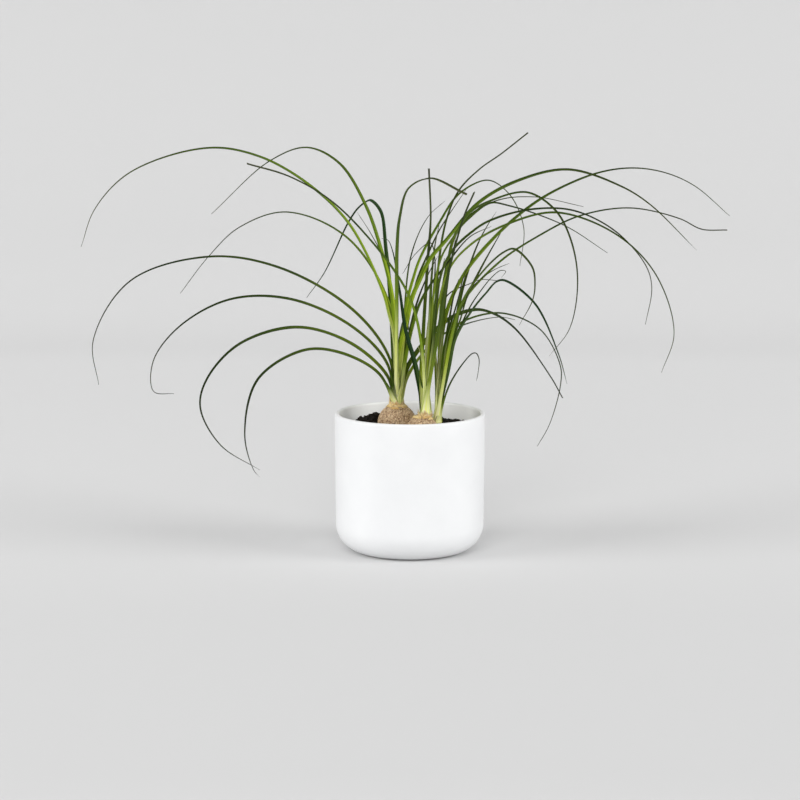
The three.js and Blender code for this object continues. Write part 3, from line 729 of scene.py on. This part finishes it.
def cork_relief(place, seed):
    """How deep the cork is dented at a place, and how clear the place is of a crack, from 0 to 1."""
    spot = Vector(place) + Vector((0, 0, seed))
    fold = noise.noise_vector(spot * CORK["fold_pitch"]) * CORK["fold"]
    near = noise.voronoi((spot + fold) * CORK["plate_pitch"])[0]
    crack = min(1.0, (near[1] - near[0]) / CORK["crack_width"])
    lump = noise.fractal(spot * CORK["lump_pitch"], *CORK["lump_fractal"])
    wander = CORK["ring_wander"] * noise.noise(spot * CORK["wander_pitch"])
    ring = math.sin(place[2] * CORK["ring_pitch"] + wander)
    dent = CORK["crack_depth"] * (1 - crack) + CORK["lump_depth"] * (0.5 - 0.5 * lump)
    return BARK_RELIEF * (dent + CORK["ring_depth"] * (1 - ring)), crack


def add_bulb(build, bulb):
    """A bulb whose cork stands in small plates between netted cracks, inside its outline."""
    path = smooth_path(bulb["outline"], OUTLINE_STEPS)
    buried = np.linspace(0, BURIED_SHARE, BURIED_ROWS, endpoint=False)
    profile, _ = walk(path, np.concatenate([buried, np.linspace(BURIED_SHARE, 1, bulb["rows"])]))
    profile = np.vstack([[BULB_AXIS, profile[0][1]], profile, [BULB_AXIS, profile[-1][1]]])
    places, _ = turned_places(profile, bulb["sides"])
    smooth_radius = bulb["outline"][-1][0] * SMOOTH_NECK
    cracks = []
    for place in places:
        dent, crack = cork_relief(place, bulb["seed"])
        cracks.append(crack)
        radius = math.hypot(place[0], place[1])
        if radius > smooth_radius:
            place[:2] *= 1 - dent / radius
    places[:, :2] += bulb["place"]
    build.add(places, ring_faces(len(profile), bulb["sides"]), crack=np.array(cracks))


def make_bulbs():
    """The left bulb, and the right one with the side bulb that is grown together with it."""
    left = Build("crack")
    add_bulb(left, LEFT_BULB)
    left.piece("left_bulb", netted_cork, "corky_bark", "left_caudex")
    right = Build("crack")
    add_bulb(right, RIGHT_BULB)
    add_bulb(right, SIDE_BULB)
    right.piece("right_bulb", netted_cork, "corky_bark", "right_caudex")


def shoulder_distance(head, bulb, bearing, height):
    """How far out from the head's axis the bulb's shoulder or the neck is, on a bearing and at a height."""
    outline = bulb["outline"]
    radius = np.interp(height, [up for _, up in outline], [out for out, _ in outline], right=0.0)
    away = np.array([head["place"].x - bulb["place"][0], head["place"].y - bulb["place"][1]])
    toward = away[0] * math.cos(bearing) + away[1] * math.sin(bearing)
    room = toward ** 2 - away @ away + radius ** 2
    on_bulb = math.sqrt(room) - toward if room > 0 else 0.0
    return max(on_bulb, head["radius"])


def scale_faces(rows, columns):
    """The outer and inner faces of a scale, and the rim that joins them."""
    layer = rows * columns
    faces = []
    for row in range(rows - 1):
        for column in range(columns - 1):
            a = row * columns + column
            faces.append((a, a + columns, a + columns + 1, a + 1))
            faces.append((layer + a, layer + a + 1, layer + a + columns + 1, layer + a + columns))
    rim = (
        list(range(columns))
        + [row * columns + columns - 1 for row in range(1, rows)]
        + [(rows - 1) * columns + column for column in range(columns - 2, -1, -1)]
        + [row * columns for row in range(rows - 2, 0, -1)]
    )
    return faces + [(a, b, layer + b, layer + a) for a, b in zip(rim, rim[1:] + rim[:1])]


def add_scale(build, head, bulb, bearing, foot, width, height, lift, draw):
    """One dry papery scale that lies on the bulb's shoulder and the neck, torn at its end."""
    half_angle = width / 2 / head["radius"]
    torn = [drawn(draw, SCALE_DRAWS["torn"]) for _ in range(SCALE_COLUMNS)]
    flare = SCALE_FLARE * (LEAST_FLARE + next(draw))
    places = []
    for layer in (0, SCALE_THICKNESS):
        for up in np.linspace(0, 1, SCALE_ROWS):
            for s, end in zip(np.linspace(-1, 1, SCALE_COLUMNS), torn):
                angle = bearing + s * half_angle * (1 - SCALE_TAPER * up ** SCALE_TAPER_POWER)
                rise = foot + height * up * (1 + (end - 1) * up) * (1 - SCALE_ROUNDING * s * s)
                wave = SCALE_WAVE["height"] * math.sin(
                    SCALE_WAVE["across"] * s + SCALE_WAVE["up"] * up + SCALE_WAVE["around"] * bearing
                )
                out = shoulder_distance(head, bulb, angle, rise) + lift + layer + flare * up ** 3 + wave
                x = head["place"].x + out * math.cos(angle)
                y = head["place"].y + out * math.sin(angle)
                places.append((x, y, rise))
    up_value = np.tile(np.repeat(np.linspace(0, 1, SCALE_ROWS), SCALE_COLUMNS), 2)
    build.add(places, scale_faces(SCALE_ROWS, SCALE_COLUMNS), up=up_value, tone=next(draw))


def make_scales(name, head, bulb, node, seed):
    """Rings of scales, the lower ones outermost."""
    draw = seeded_draws(seed)
    build = Build("up", "tone")
    for count, drop, height, lift in SCALE_RINGS:
        for i in range(count):
            bearing = (i + SCALE_SHIFT * next(draw)) / count * FULL_TURN
            width = FULL_TURN * head["radius"] / count * drawn(draw, SCALE_DRAWS["width"])
            tall = height * drawn(draw, SCALE_DRAWS["height"])
            foot = head["place"].z - drop * drawn(draw, SCALE_DRAWS["drop"])
            add_scale(build, head, bulb, bearing, foot, width, tall, lift, draw)
    build.piece(name, papery_scale, "corky_bark", node)


# Leaves

def from_front_view(across, up, back):
    """A front-view point at a depth behind the pot's axis, as a place in space."""
    scale = 1 + (back - up * math.sin(VIEW_RISE)) / VIEW_DISTANCE
    height = VIEW_LEVEL + (up * scale - back * math.sin(VIEW_RISE)) / math.cos(VIEW_RISE)
    return (across * scale, back, height)


def to_front_view(place):
    """The front-view point of a place in space."""
    scale = 1 + place.y / VIEW_DISTANCE
    up = ((place.z - VIEW_LEVEL) * math.cos(VIEW_RISE) + place.y * math.sin(VIEW_RISE)) / scale
    return (place.x / scale, up)


def front_route(head, plan):
    """The smooth route of a leaf that is laid out in the front view."""
    root = head["place"] + Vector((0, 0, ROOT_RISE))
    seen = np.array([to_front_view(root)] + plan["route"])
    walked = np.concatenate([[0], np.cumsum(np.linalg.norm(np.diff(seen, axis=0), axis=1))])
    backs = root.y + plan["back"] * (walked / walked[-1]) ** BACKWARD_BEND
    return smooth_path([from_front_view(a, u, b) for (a, u), b in zip(seen, backs)])


def ruled_route(head, bearing, shape, rise, reach):
    """The route of a leaf that follows the rule, on one bearing."""
    root = head["place"] + Vector((0, 0, ROOT_RISE))
    out = Vector((math.cos(bearing), math.sin(bearing), 0))
    return smooth_path([root] + [root + out * reach * a + Vector((0, 0, rise * u)) for a, u in shape])


def leaf_width(share, width, cut):
    """Even through the rise, then drawn out to the tip, which is blunt on a cut leaf."""
    past = np.clip((share - TAPER["start"]) / (1 - TAPER["start"]), 0, 1)
    taper = 1 - TAPER["loss"] * past ** (TAPER["cut_power"] if cut else TAPER["power"])
    if cut:
        return width * np.maximum(taper, TAPER["cut_least"])
    point = np.clip((1 - share) / TIP_SHARE, TIP_LEAST, 1)
    return np.maximum(width * taper, TIP_WIDTH) * point


def leaf_lean(route):
    """How far a leaf leans from upright over its first few centimetres, in radians, and its bearing."""
    places, _ = walk(route, [0, LEAN_LENGTH / path_length(route)])
    rise = places[1] - places[0]
    flat = math.hypot(rise[0], rise[1])
    return math.atan2(flat, rise[2]), np.array([rise[0] / flat, rise[1] / flat, 0.0])


def path_length(path):
    """The length of a path through places."""
    return np.linalg.norm(np.diff(path, axis=0), axis=1).sum()


def slow_noise(value, seed):
    """Slow noise along a leaf, on a row of its own."""
    return np.array([noise.noise(Vector((v, seed * DRIFT_ROWS[0], seed * DRIFT_ROWS[1]))) for v in value])


def ring_distances(route):
    """Where a leaf has its rings, as distances along its route."""
    length = path_length(route)
    samples = np.linspace(0, length, BEND_SAMPLES)
    _, along = walk(route, samples / length)
    bend = np.arccos(np.clip(np.sum(along[1:] * along[:-1], axis=1), -1, 1)) / BEND_STEP
    step = np.where(samples[1:] < CLOSE_UNTIL, CLOSE_STEP, WIDE_STEP)
    amount = np.concatenate([[0], np.cumsum((samples[1] - samples[0]) / step + bend)])
    return np.interp(np.linspace(0, amount[-1], int(amount[-1]) + 2), amount, samples)


def leaf_rings(one, wrap_radius):
    """Each ring's distance from the leaf's foot, how closely it clasps the neck, its middle, and the way
    across the blade and out of its face."""
    route = one["route"]
    _, out = leaf_lean(route)
    (start, halfway), _ = walk(route, [0, 0.5])
    foot = route[0] - np.array([0, 0, ROOT_RISE])
    route = np.vstack([np.linspace(foot, route[0], ROOT_STEPS)[:-1], route])
    distance = ring_distances(route)
    middle, _ = walk(route, distance / distance[-1])
    clasp = np.exp(-(distance / SHEATH_LENGTH) ** CLASP_POWER)
    middle = middle + out * (wrap_radius * clasp)[:, None]
    along = np.gradient(middle, distance, axis=0)
    along /= np.linalg.norm(along, axis=1)[:, None]
    bearing = np.array([halfway[0] - start[0], halfway[1] - start[1], 0.0])
    bearing /= np.linalg.norm(bearing)
    bearing = bearing * (1 - clasp[:, None]) + out * clasp[:, None]
    face = np.cross(along, np.cross(np.array([0.0, 0.0, 1.0]), bearing))
    face /= np.linalg.norm(face, axis=1)[:, None]
    turning = np.minimum(distance / TURNING_LENGTH, 1)
    twist = np.radians(one["turn"]) * (-1 if bearing[-1][0] < 0 else 1) * turning
    twist = twist + TWIST_DRIFT * slow_noise(distance * DRIFT_PITCH, one["seed"]) * turning
    face = face * np.cos(twist)[:, None] + np.cross(along, face) * np.sin(twist)[:, None]
    return distance, clasp, middle, np.cross(face, along), face


def section_points():
    """Places across a blade from -1 to 1, over its face and back under it, and which of them are under."""
    over, under = SECTION["face_points"], SECTION["under_points"]
    reach = SECTION["under_reach"]
    s = np.concatenate([np.linspace(-1, 1, over), np.linspace(reach, -reach, under)])
    return s, np.concatenate([np.zeros(over), np.ones(under)])


def add_leaf(build, one, wrap_radius):
    """A channelled leaf: a sheath round the neck that opens into a keeled blade with thin edges."""
    distance, clasp, middle, across, face = leaf_rings(one, wrap_radius)
    share = distance / distance[-1]
    waver = 1 + SECTION["waver"] * slow_noise(distance * SECTION["waver_pitch"], one["seed"] + WAVER_SEED)
    blade = leaf_width(share, one["width"], one["cut"]) / 2 * waver
    half = blade + np.maximum(wrap_radius * SHEATH_WRAP - blade[0], SECTION["least_wrap"]) * clasp
    sheath_curl = half[0] / max(wrap_radius, SECTION["least_radius"]) * SECTION["sheath_curl"]
    curl = (SECTION["curl"] + (sheath_curl - SECTION["curl"]) * clasp)[:, None]
    crease = SECTION["crease"] * (1 - clasp)
    thin = LEAF_THICKNESS * (1 - clasp) * (1 - SECTION["thinning"] * share)
    thickness = SHEATH_THICKNESS * clasp + thin
    s, is_under = section_points()
    arc = curl * s
    sideways = np.sin(arc) / curl * half[:, None]
    rise = (1 - np.cos(arc)) / curl * half[:, None]
    rise = rise + (crease * half)[:, None] * np.abs(s) ** SECTION["crease_power"]
    keel = np.exp(-(s / SECTION["keel_width"]) ** 2)
    depth = is_under * (SECTION["edge"] + SECTION["belly"] * (1 - s * s) + SECTION["keel"] * keel)
    rise = rise - thickness[:, None] * (depth - SECTION["above"])
    places = middle[:, None, :] + across[:, None, :] * sideways[:, :, None]
    places = places + face[:, None, :] * rise[:, :, None]
    rings, size = len(distance), len(s)
    build.add(
        places.reshape(-1, 3),
        ring_faces(rings, size),
        along=np.repeat(share, size),
        from_root=np.repeat(distance, size),
        across=np.tile(s, rings),
        underside=np.tile(is_under, rings),
        tone=one["tone"],
        leaf=one["seed"] * STREAK_STEP,
    )


def add_neck(build, head):
    """The core of the neck, inside the sheaths."""
    up = np.linspace(0, 1, NECK["rows"])
    radius = head["radius"] * NECK["width"] * (1 - NECK["taper"] * up ** 3)
    profile = np.stack([radius, up * head["height"]], axis=1)
    profile = np.vstack([[BULB_AXIS, 0.0], profile, [BULB_AXIS, head["height"] * NECK["peak"]]])
    places, around = turned_places(profile, NECK["sides"])
    build.add(
        places + np.array(head["place"]),
        ring_faces(len(profile), NECK["sides"]),
        along=NECK["along"],
        from_root=places[:, 2] * NECK["root_share"],
        across=np.sin(around * NECK["waves"]),
        tone=NECK["tone"],
        leaf=NECK["seed"],
    )


def ruled_leaf(head, kind, bearing, rise, reach):
    """A leaf that follows the rule of its kind, young or rear."""
    kept = {key: kind[key] for key in ("width", "turn", "tone")}
    return {"route": ruled_route(head, bearing, kind["shape"], rise, reach), "cut": False, **kept}


def crown_leaves(head, plans, seed):
    """Every leaf of a head, the most upright first, both those laid out in the front view and the ruled."""
    draw = seeded_draws(seed)
    found = []
    for plan in plans:
        turn = drawn(draw, TURN_DEGREES) if plan["turn"] is None else plan["turn"]
        found.append({**plan, "route": front_route(head, plan), "turn": turn})
    for i in range(head["young"]):
        bearing = i * GOLDEN_ANGLE + YOUNG["bearing_spread"] * next(draw)
        rise = drawn(draw, YOUNG["rise"])
        found.append(ruled_leaf(head, YOUNG, bearing, rise, drawn(draw, YOUNG["reach"])))
    for i in range(head["rear"]):
        bearing = REAR["bearing"] + (i - (head["rear"] - 1) / 2) * REAR["bearing_step"]
        reach = REAR["reach"][0] + REAR["reach"][1] * i
        found.append(ruled_leaf(head, REAR, bearing, drawn(draw, REAR["rise"]), reach))
    for i, one in enumerate(found):
        one["seed"] = seed * HEAD_SEEDS + i
    return sorted(found, key=lambda one: leaf_lean(one["route"])[0])


def make_crown(name, node, head, plans, seed):
    """A head of leaves: the most upright are inmost in the neck, and the most leaning wrap them all."""
    build = Build("along", "from_root", "across", "underside", "tone", "leaf")
    add_neck(build, head)
    found = crown_leaves(head, plans, seed)
    for i, one in enumerate(found):
        add_leaf(build, one, head["radius"] * (INMOST_WRAP + WRAP_SPREAD * (i / (len(found) - 1))))
    build.piece(name, palm_leaf, "green_leaf", node)


# Materials

def material_of(paint):
    """The material that a painting function fills, made once and named after it."""
    material = bpy.data.materials.get(paint.__name__)
    if material is None:
        material = bpy.data.materials.new(paint.__name__)
        material.use_nodes = True
        material.node_tree.nodes.clear()
        paint(material.node_tree)
    return material


def add(tree, kind, sockets=None, **settings):
    """A node with its settings, and its input sockets set by name or linked from another node's socket."""
    node = tree.nodes.new(kind)
    for key, value in settings.items():
        setattr(node, key, value)
    for key, value in (sockets or {}).items():
        if isinstance(value, bpy.types.NodeSocket):
            tree.links.new(value, node.inputs[key])
        else:
            node.inputs[key].default_value = value
    return node


def value_of(tree, name):
    """A value that is kept on the mesh's vertices."""
    return add(tree, "ShaderNodeAttribute", attribute_name=name).outputs["Fac"]


def object_place(tree):
    """The X, Y and Z of a place on the object."""
    place = add(tree, "ShaderNodeTexCoord").outputs["Object"]
    return add(tree, "ShaderNodeSeparateXYZ", {"Vector": place}).outputs


def spread(tree, value, span):
    """A value moved from one range to another, clamped. A span of two values is spread over 0 to 1."""
    ends = dict(zip(("From Min", "From Max", "To Min", "To Max"), span))
    return add(tree, "ShaderNodeMapRange", {"Value": value, **ends}).outputs["Result"]


def blend(tree, amount, first, second, mode="MIX"):
    """Two colours mixed by an amount."""
    node = add(tree, "ShaderNodeMix", data_type="RGBA", blend_type=mode)
    for index, value in ((MIX_AMOUNT, amount), (MIX_FIRST, first), (MIX_SECOND, second)):
        if isinstance(value, bpy.types.NodeSocket):
            tree.links.new(value, node.inputs[index])
        else:
            node.inputs[index].default_value = (*value, 1.0)
    return node.outputs[MIX_RESULT]


def tint(tree, value, colour, look, mode="MIX"):
    """A colour with another laid over it where a value is within a span."""
    over, span = look
    return blend(tree, spread(tree, value, span), colour, over, mode)


def reckon(tree, operation, first, second=0.5):
    """One arithmetic step."""
    return add(tree, "ShaderNodeMath", {0: first, 1: second}, operation=operation).outputs["Value"]


def ramp(tree, value, stops):
    """A colour ramp from (position, colour) stops."""
    node = add(tree, "ShaderNodeValToRGB", {"Fac": value})
    elements = node.color_ramp.elements
    while len(elements) < len(stops):
        elements.new(0.5)
    for element, (position, colour) in zip(elements, stops):
        element.position = position
        element.color = (*colour, 1.0)
    return node.outputs["Color"]


def finish_surface(tree, colour, roughness, height=None, relief=0.0002, strength=0.5, specular=0.5):
    """The shader itself, with its colour, its roughness and a relief of some metres at full height."""
    sockets = {"Base Color": colour, "Roughness": roughness, "Specular IOR Level": specular}
    shader = add(tree, "ShaderNodeBsdfPrincipled", sockets)
    if height is not None:
        bump = add(tree, "ShaderNodeBump", {"Height": height, "Distance": relief, "Strength": strength})
        tree.links.new(bump.outputs["Normal"], shader.inputs["Normal"])
    output = add(tree, "ShaderNodeOutputMaterial")
    tree.links.new(shader.outputs["BSDF"], output.inputs["Surface"])
    return shader


def mottle_group():
    """Soft uneven patches with a finer grain in them: the share of each, by place."""
    group = bpy.data.node_groups.get("mottle")
    if group:
        return group
    group = bpy.data.node_groups.new("mottle", "ShaderNodeTree")
    ins = group.nodes.new("NodeGroupInput")
    outs = group.nodes.new("NodeGroupOutput")
    place = add(group, "ShaderNodeTexCoord").outputs["Object"]
    for result, detail in MOTTLE_DETAIL.items():
        scale = result + " Scale"
        group.interface.new_socket(scale, in_out="INPUT", socket_type="NodeSocketFloat")
        group.interface.new_socket(result, in_out="OUTPUT", socket_type="NodeSocketFloat")
        sockets = {"Vector": place, "Scale": ins.outputs[scale], "Detail": detail}
        texture = add(group, "ShaderNodeTexNoise", {**sockets, "Roughness": MOTTLE_ROUGHNESS})
        group.links.new(spread(group, texture.outputs["Fac"], MOTTLE_SPAN), outs.inputs[result])
    return group


def mottle(tree, scales):
    """The patches and the grain of the mottle, at their scales."""
    node = add(tree, "ShaderNodeGroup", node_tree=mottle_group())
    node.inputs["Patches Scale"].default_value, node.inputs["Grain Scale"].default_value = scales
    return node.outputs["Patches"], node.outputs["Grain"]


def satin_white_glaze(tree):
    """Satin white glaze with painted light on the inner wall, thin and warm on the lip, and bare biscuit
    underfoot.
    """
    patches, grain = mottle(tree, GLAZE["mottle"])
    place = object_place(tree)
    glaze = blend(tree, patches, GLAZE["thin"], GLAZE["thick"])
    flat = add(tree, "ShaderNodeCombineXYZ", {"X": place["X"], "Y": place["Y"]}).outputs["Vector"]
    from_axis = add(tree, "ShaderNodeVectorMath", {0: flat}, operation="LENGTH").outputs["Value"]
    # Painted light: the inner wall above the soil takes the paler inside colour, to lift its shade.
    painted_light_wall = spread(tree, from_axis, GLAZE["inside_radius"])
    painted_light_height = spread(tree, place["Z"], GLAZE["inside_height"])
    glaze = blend(tree, reckon(tree, "MULTIPLY", painted_light_wall, painted_light_height), glaze, GLAZE["inside"])
    glaze = tint(tree, place["Z"], glaze, GLAZE["lip"])
    biscuit = blend(tree, grain, GLAZE["dark_biscuit"], GLAZE["pale_biscuit"])
    colour = blend(tree, reckon(tree, "LESS_THAN", place["Z"], GLAZE["foot_height"]), glaze, biscuit)
    roughness = spread(tree, patches, GLAZE["roughness"])
    finish_surface(tree, colour, roughness, patches, relief=0.0004, strength=0.06, specular=0.45)


def dark_peat(tree):
    """Near-black peat with brown patches and paler specks."""
    patches, grain = mottle(tree, PEAT["mottle"])
    colour = blend(tree, patches, PEAT["black"], PEAT["brown"])
    colour = tint(tree, grain, colour, PEAT["speck"])
    finish_surface(tree, colour, roughness=0.92, height=grain, relief=0.0006, strength=0.9, specular=0.25)


def netted_cork(tree):
    """Tan cork in small plates, dark in the cracks and pale where it is worn."""
    patches, grain = mottle(tree, BARK["mottle"])
    crack = value_of(tree, "crack")
    worn = tint(tree, grain, ramp(tree, patches, BARK["plates"]), BARK["worn"])
    colour = tint(tree, crack, worn, BARK["crack"])
    height = reckon(tree, "ADD", grain, crack)
    finish_surface(tree, colour, roughness=0.86, height=height, relief=0.0004, strength=0.7, specular=0.25)


def papery_scale(tree):
    """Papery tan scales, golden at the root and paler at their torn ends."""
    patches, grain = mottle(tree, PAPERY["mottle"])
    colour = blend(tree, value_of(tree, "tone"), PAPERY["golden"], PAPERY["straw"])
    colour = tint(tree, value_of(tree, "up"), colour, PAPERY["torn"])
    colour = tint(tree, patches, colour, PAPERY["stain"])
    finish_surface(tree, colour, roughness=0.75, height=grain)


def leaf_streaks(tree, from_root, across):
    """Fine streaks that run along a leaf, different on each."""
    strand = {
        "X": reckon(tree, "MULTIPLY", across, GREEN["strands_across"]),
        "Y": reckon(tree, "MULTIPLY", from_root, GREEN["strands_along"]),
        "Z": value_of(tree, "leaf"),
    }
    place = add(tree, "ShaderNodeCombineXYZ", strand).outputs["Vector"]
    sockets = {"Vector": place, "Scale": 1.0, "Detail": GREEN["streak_detail"]}
    texture = add(tree, "ShaderNodeTexNoise", sockets)
    return spread(tree, texture.outputs["Fac"], GREEN["streaks"])


def blade_colour(tree, along, across, tone, streaks):
    """Yellow-green rise, deep green arch partly darkened as painted shade, pale midrib, one side painted
    shade.
    """
    cool = tint(tree, tone, ramp(tree, along, GREEN["deep"]), GREEN["cool"])
    blade = blend(tree, tone, cool, ramp(tree, along, GREEN["bright"]))
    streaked_along = spread(tree, along, GREEN["streak_along"])
    streaked = reckon(tree, "MULTIPLY", streaked_along, spread(tree, tone, GREEN["streak_tones"]))
    blade = blend(tree, streaks, blade, blend(tree, streaked, blade, GREEN["streak"]))
    # Painted shade: one half of each blade is darkened, as if its fold turned it from the light.
    blade = tint(tree, across, blade, GREEN["fold"], "MULTIPLY")
    at_middle = spread(tree, reckon(tree, "ABSOLUTE", across), GREEN["midrib_across"])
    midrib = reckon(tree, "MULTIPLY", at_middle, spread(tree, tone, GREEN["midrib_tones"]))
    blade = blend(tree, midrib, blade, GREEN["midrib"])
    return tint(tree, value_of(tree, "underside"), blade, GREEN["under"])


def palm_leaf(tree):
    """Cream at the sheath, then the blade's greens, with painted shade along the edges and fine parallel
    veins.
    """
    names = ("from_root", "along", "across", "tone")
    from_root, along, across, tone = (value_of(tree, name) for name in names)
    streaks = leaf_streaks(tree, from_root, across)
    blade = blade_colour(tree, along, across, tone, streaks)
    sheath = blend(tree, streaks, GREEN["cream"], GREEN["lime"])
    pale_length = spread(tree, tone, GREEN["pale_length"])
    paleness = reckon(tree, "SUBTRACT", 1.0, reckon(tree, "DIVIDE", from_root, pale_length))
    paleness = reckon(tree, "POWER", reckon(tree, "MAXIMUM", paleness, 0.0), GREEN["pale_power"])
    colour = blend(tree, paleness, blade, sheath)
    # Painted shade: the edges of every leaf and sheath are darkened, for the shade in the gaps between them.
    colour = tint(tree, reckon(tree, "ABSOLUTE", across), colour, GREEN["edge"], "MULTIPLY")
    veins = reckon(tree, "SINE", reckon(tree, "MULTIPLY", across, GREEN["veins"]))
    roughness = spread(tree, streaks, GREEN["roughness"])
    height = reckon(tree, "ADD", reckon(tree, "MULTIPLY", veins, GREEN["vein_height"]), streaks)
    finish_surface(tree, colour, roughness, height, relief=0.00015, specular=0.08)


def clear_from_behind(tree, shader):
    """Lets a view from behind the backdrop look through it."""
    behind = add(tree, "ShaderNodeNewGeometry").outputs["Backfacing"]
    clear = add(tree, "ShaderNodeBsdfTransparent").outputs["BSDF"]
    surface = add(tree, "ShaderNodeMixShader", {0: behind, 1: shader.outputs["BSDF"], 2: clear})
    tree.links.new(surface.outputs["Shader"], tree.nodes["Material Output"].inputs["Surface"])


def pale_paper(tree):
    """Plain paper, whose tone along its sweep evens out the light's fall."""
    patches, _ = mottle(tree, PAPER_MOTTLE)
    place = object_place(tree)
    sweep = spread(tree, reckon(tree, "ADD", place["Y"], place["Z"]), PAPER_SWEEP)
    paper = ramp(tree, sweep, [(share, (tone, tone, tone)) for share, tone in PAPER_TONES])
    paper = blend(tree, reckon(tree, "MULTIPLY", patches, PAPER_SHADE_SHARE), paper, PAPER_SHADE)
    clear_from_behind(tree, finish_surface(tree, paper, roughness=0.9, specular=0.1))


# Stage, lights and camera

def make_stage():
    """A pale floor that sweeps up into the backdrop."""
    bend = round_corner(BEND_START, BEND_RADIUS, BEND_RADIUS, -90, 0, BEND_STEPS)
    line = np.vstack([[[-FLOOR_REACH, 0.0]], bend, [WALL_TOP]])
    places = [(x, y, z) for y, z in line for x in (-FLOOR_REACH, FLOOR_REACH)]
    faces = [(2 * i, 2 * i + 1, 2 * i + 3, 2 * i + 2) for i in range(len(line) - 1)]
    put_mesh("backdrop", places, faces, pale_paper)


def soft_light(name, place, size, power):
    """A square soft light that looks at the middle of the plant and isn't seen itself."""
    light = bpy.data.lights.new(name, "AREA")
    light.shape = "SQUARE"
    light.size = size
    light.energy = power
    lamp = put(name, light)
    lamp.location = place
    lamp.visible_camera = False
    lamp.rotation_euler = (LIGHT_AIM - Vector(place)).to_track_quat("-Z", "Y").to_euler()


def make_lights():
    """Three soft lights and an even white sky."""
    for light in LIGHTS:
        soft_light(*light)
    world = bpy.data.worlds.new("studio")
    world.use_nodes = True
    background = world.node_tree.nodes["Background"]
    background.inputs["Color"].default_value = (1.0, 1.0, 1.0, 1.0)
    background.inputs["Strength"].default_value = SKY_STRENGTH
    bpy.context.scene.world = world
    bpy.context.scene.view_settings.view_transform = "Standard"


def make_camera():
    """The front view: level across, from a little above."""
    data = bpy.data.cameras.new("front_view")
    data.lens = CAMERA_LENS
    data.sensor_width = SENSOR_WIDTH
    data.clip_end = VIEW_END
    camera = put("front_view", data)
    away = Vector((0, -math.cos(VIEW_RISE), math.sin(VIEW_RISE)))
    camera.location = CAMERA_TARGET + away * VIEW_DISTANCE
    camera.rotation_euler = (-away).to_track_quat("-Z", "Y").to_euler()
    bpy.context.scene.camera = camera


make_camera()
make_stage()
make_lights()
make_pot()
make_soil()
make_bulbs()
make_scales("left_neck_scales", LEFT_HEAD, LEFT_BULB, "left_caudex", seed=11)
make_scales("right_neck_scales", RIGHT_HEAD, RIGHT_BULB, "right_caudex", seed=23)
make_crown("left_leaves", "left_crown", LEFT_HEAD, LEFT_LEAVES, seed=3)
make_crown("right_leaves", "right_crown", RIGHT_HEAD, RIGHT_LEAVES, seed=5)
make_crown("side_leaves", "side_shoot", SIDE_HEAD, SIDE_LEAVES, seed=7)
